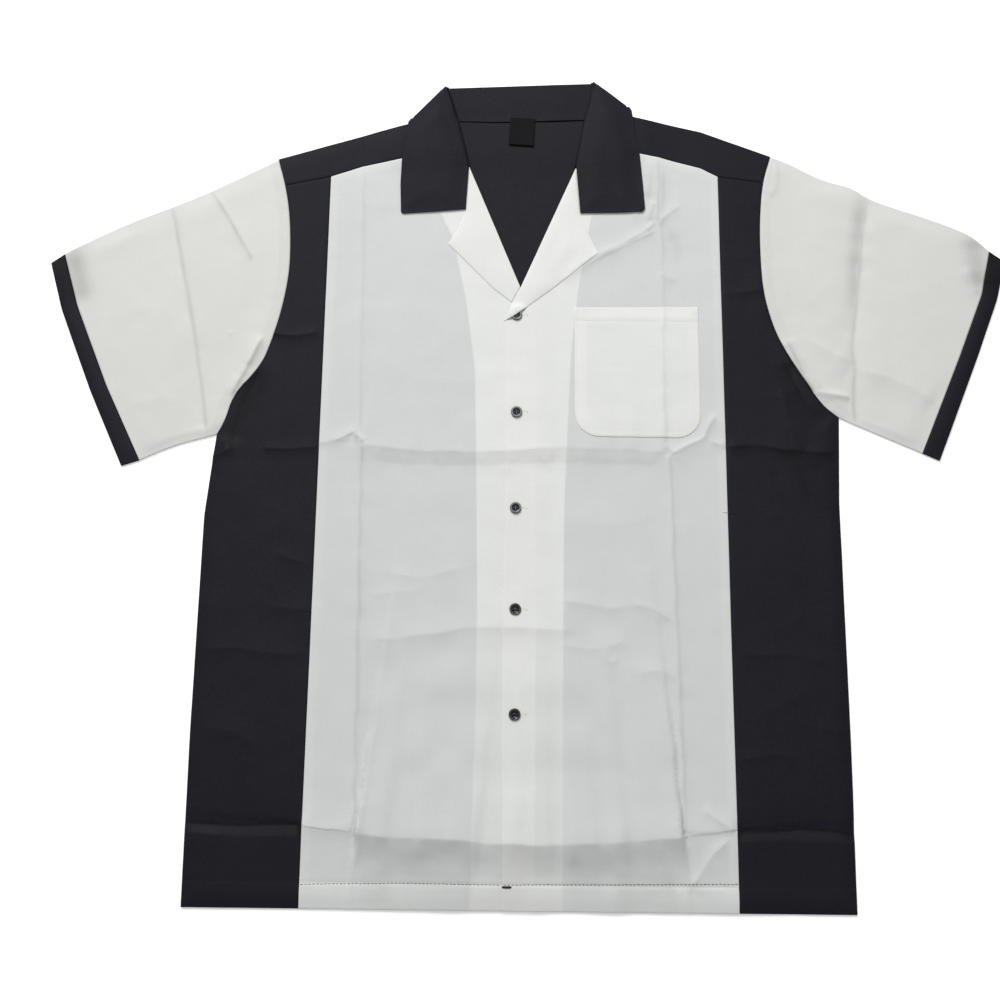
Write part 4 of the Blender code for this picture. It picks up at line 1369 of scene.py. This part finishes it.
# %% Buttonholes and the threads in the buttons
purl, loops = [], []
for (cx, cy), base in zip(BUTTON_AT, bases):
    middle = cx + 3.0
    for row in (-1, 1):
        for k in range(26):
            x = middle - 7.6 + 15.2 * k / 25
            flat = [(x, cy + row * 0.15), (x + 0.15, cy + row * 0.8), (x + 0.3, cy + row * 1.35)]
            purl.append(raised(flat, left_top, [0.0, 0.12, -0.08]))
    for end in (-1, 1):
        for k in range(4):
            x = middle + end * (7.9 + 0.22 * k)
            purl.append(raised([(x, cy - 1.3), (x, cy), (x, cy + 1.3)], left_top, [-0.05, 0.12, -0.05]))
    for sx in (-1, 1):
        for k in (-0.22, 0, 0.22):
            loops.append([(cx + sx * HOLE_AT + k, cy + y, base + z) for y, z in (
                (-HOLE_AT, 0.55), (-0.8, 1.12), (0, 1.22), (0.8, 1.12), (HOLE_AT, 0.55))])
buttonholes = pale_threads("buttonhole_purl", purl, 0.14, sides=5)
button_threads = dark_threads("button_threads", loops, 0.16, sides=5)

# %% [markdown]
# ## The neck label
# A small woven label is sewn into the back neck seam. It is a ribbon folded in half, so
# it has a soft fold at its lower edge. Its face is left bare, with only the fine ribs
# and the raised edges that a woven ribbon has.

# %% The label and its satin
SATIN = poplin("black label satin", ((0.0, (0.0045, 0.0045, 0.006)), (1.0, (0.016, 0.016, 0.020))), 0.5, 0.0,
               rough=0.62, gloss=0.10)
LABEL_X, LABEL_TOP, LABEL_W, LABEL_H, LABEL_TURN = -2.0, 418.5, 26.5, 32.0, math.radians(-3)
turned = np.array([[math.cos(LABEL_TURN), -math.sin(LABEL_TURN)], [math.sin(LABEL_TURN), math.cos(LABEL_TURN)]])


def label_place(u, v):
    return np.array([LABEL_X, LABEL_TOP]) + turned @ np.array([u * LABEL_W, -v * LABEL_H])


def label_parts(p):
    """How far across the label each point is, its share of the way down, and its selvedge."""
    x, y = ((p - [LABEL_X, LABEL_TOP]) @ turned).T
    return x, -y / LABEL_H, 0.12 * ease(np.abs(x), LABEL_W / 2 - 2.0, LABEL_W / 2 - 1.0)


def label_under(p):
    x, down, selvedge = label_parts(p)
    rib = 0.05 * np.sin(x * 2 * np.pi / 1.6)
    seat = np.maximum(back_under(p) + WALL, stand_level(p) + COLLAR_WALL / 2 - 0.2)
    return seat + 0.3 + 0.7 * ease(down, 0.1, 1.0) + rib + selvedge


def label_cover(p):
    _, down, selvedge = label_parts(p)
    return 0.35 * ease(down, 0.93, 0.99) + selvedge


label_ring = ring_of([label_place(u, v) for u, v in ((-0.5, 0), (-0.5, 1), (0.5, 1), (0.5, 0))])
label = cloth("neck_label", label_ring, label_under, SATIN, pitch=0.9, cover=label_cover, wall=0.8)

# %% [markdown]
# ## Two small faults
# Nothing sewn is perfect. A pale thread end crosses the left panel seam, and a knot of
# lint sits where the lower creases meet. They are small, but they are there to be seen.

# %% Thread end and lint
flat = np.array([[199.5, -11], [201.5, -10.8], [203.5, -11.1], [205.6, -11]])
tick = pale_threads("thread_end", [raised(flat, front_under, WALL + 0.25)], 0.3)
knot = []
for n in range(7):
    turn = np.linspace(0, 4.2, 8) + n
    flat = np.column_stack([155.5 + (0.5 + 0.22 * n) * np.cos(turn),
                            -322 + (0.4 + 0.16 * n) * np.sin(turn * 1.3)])
    knot.append(raised(flat, front_under, WALL + 0.2 + 0.12 * n))
lint = pale_threads("lint", knot, 0.12)

# %% [markdown]
# ## What each cloth measures
# Each cloth but the collar has the flat size of what shows printed: its outline's area,
# twice that for a tube, and the box that it was cut from.

def box_of(ring):
    """Sides of the smallest box round the ring, turned as the cloth would be to cut it."""
    boxes = []
    for turn in np.radians(np.arange(0, 90, 1.0)):
        one, two = ring @ [math.cos(turn), math.sin(turn)], ring @ [-math.sin(turn), math.cos(turn)]
        boxes.append((float(np.ptp(one)) * MM, float(np.ptp(two)) * MM))
    return min(boxes, key=lambda box: box[0] * box[1])


def laid(piece, flat, area):
    print(piece.name, [round(1000 * x) for x in flat], "mm,", round(area * 1e4), "square cm")


def declare(piece, ring):
    laid(piece, box_of(ring), area_of(ring) * MM * MM)


def declare_tube(piece, top, under, inner, outer):
    """A tube is cut as one cloth that goes all round, so it is twice its laid width."""
    area = 2 * area_of(ring_of(top, outer, under[::-1], inner[::-1])) * MM * MM
    round_it, along_it = max(length_of(inner), length_of(outer)), max(length_of(top), length_of(under))
    laid(piece, (2.02 * MM * round_it, 1.02 * MM * along_it), area)


declare(back, EDGE)
for side, _ in SIDES:
    for name in ("side_" + side, "yoke_" + side):
        declare(made[name], outline[name])
    declare(made["lapel_" + side], ring_of(LAPEL[side]))
    for name in ("sleeve_" + side, "band_" + side):
        declare_tube(made[name], *edges[name])
declare(front_right, outline["front_right"])
left_ring = ring_of(YOKE_SEAM["left"][1:], V_LEFT, PLACKET[1:], [(PANEL_X, HEM_Y)])
declare(front_left, left_ring)
declare(pocket, pocket_ring())
declare(label, label_ring)
leaf_area = sum(area_of(ring_of([CORNER[s], OUTER[s]], LEAF[s])) for s in ("right", "left"))

# %% [markdown]
# ## Table, light and camera
# The shirt lies on a plain pale floor. A large soft lamp stands beyond the collar, and a
# wide window light falls from the same side, so slopes that face the hem go darker and
# the cloth dims a little towards the hem. A soft lamp above and a pale sky fill the
# shadows. The camera looks down, tilted a little from the hem's side.

# %% Floor and light
def flat_finish(name, colour, rough=0.9):
    made, tree, shader = new_finish(name)
    grain = node(tree, "ShaderNodeTexNoise", Scale=60.0, Detail=2.0)
    bumped(tree, grain.outputs["Fac"], Strength=0.02)
    fixed(shader, Base_Color=(*colour, 1), Roughness=rough, Specular_IOR_Level=0.1,
          Emission_Color=(1, 1, 1, 1), Emission_Strength=0.30)
    return made


floor_mesh = bpy.data.meshes.new("floor")
floor_mesh.from_pydata([(-6, -6, -0.0004), (6, -6, -0.0004), (6, 6, -0.0004), (-6, 6, -0.0004)], [],
                       [(0, 1, 2, 3)])
floor_mesh.materials.append(flat_finish("pale floor", (0.93, 0.93, 0.93)))
floor = bpy.data.objects.new("floor", floor_mesh)
bpy.context.scene.collection.objects.link(floor)
floor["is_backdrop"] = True


def lamp(name, place, aim, size, watts, colour=(1, 1, 1)):
    data = bpy.data.lights.new(name, "AREA")
    data.shape, data.size, data.energy, data.color = "DISK", size, watts, colour
    made = bpy.data.objects.new(name, data)
    made.location = place
    made.rotation_euler = (Vector(aim) - Vector(place)).to_track_quat("-Z", "Y").to_euler()
    bpy.context.scene.collection.objects.link(made)
    return made


key = lamp("key", (-0.30, 1.60, 1.25), (0.0, 0.10, 0.0), 0.9, 17.0)
key.visible_glossy = False  # no shine from behind the collar on the black cloth
lamp("soft top", (0.05, 0.72, 2.3), (0.0, 0.0, 0.0), 1.5, 11.0, (1.0, 0.98, 0.95))
sun_data = bpy.data.lights.new("window", "SUN")
sun_data.energy, sun_data.angle, sun_data.color = 1.42, math.radians(22), (0.985, 1.0, 1.0)
sun = bpy.data.objects.new("window", sun_data)
sun.rotation_euler = Vector((0.38, -0.93, -1.0)).to_track_quat("-Z", "Y").to_euler()
bpy.context.scene.collection.objects.link(sun)
sky = bpy.data.worlds.new("pale sky")
sky.use_nodes = True
sky.node_tree.nodes["Background"].inputs["Color"].default_value = (0.99, 0.995, 1.0, 1)
sky.node_tree.nodes["Background"].inputs["Strength"].default_value = 0.31
bpy.context.scene.world = sky
bpy.context.scene.view_settings.view_transform = "Standard"
print("floor, a window, a lamp and a sky")

# %% Camera
TILT, YAW, AWAY = math.radians(12.4), math.radians(0.65), 1.200
AIM = np.array([-0.0263, -0.0355, 0.0])
camera_data = bpy.data.cameras.new("camera")
camera_data.lens, camera_data.sensor_width = 43.2, 36.0
camera = bpy.data.objects.new("camera", camera_data)
camera.location = AIM + AWAY * np.array([math.sin(TILT) * math.sin(YAW), -math.sin(TILT) * math.cos(YAW),
                                         math.cos(TILT)])
camera.rotation_euler = (TILT, 0, YAW)
bpy.context.scene.collection.objects.link(camera)
bpy.context.scene.camera = camera
print("camera", [round(x, 3) for x in camera.location])

# %% The finished size
low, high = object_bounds()
print("visual box in mm:", [round(1000 * (b - a), 1) for a, b in zip(low, high)])
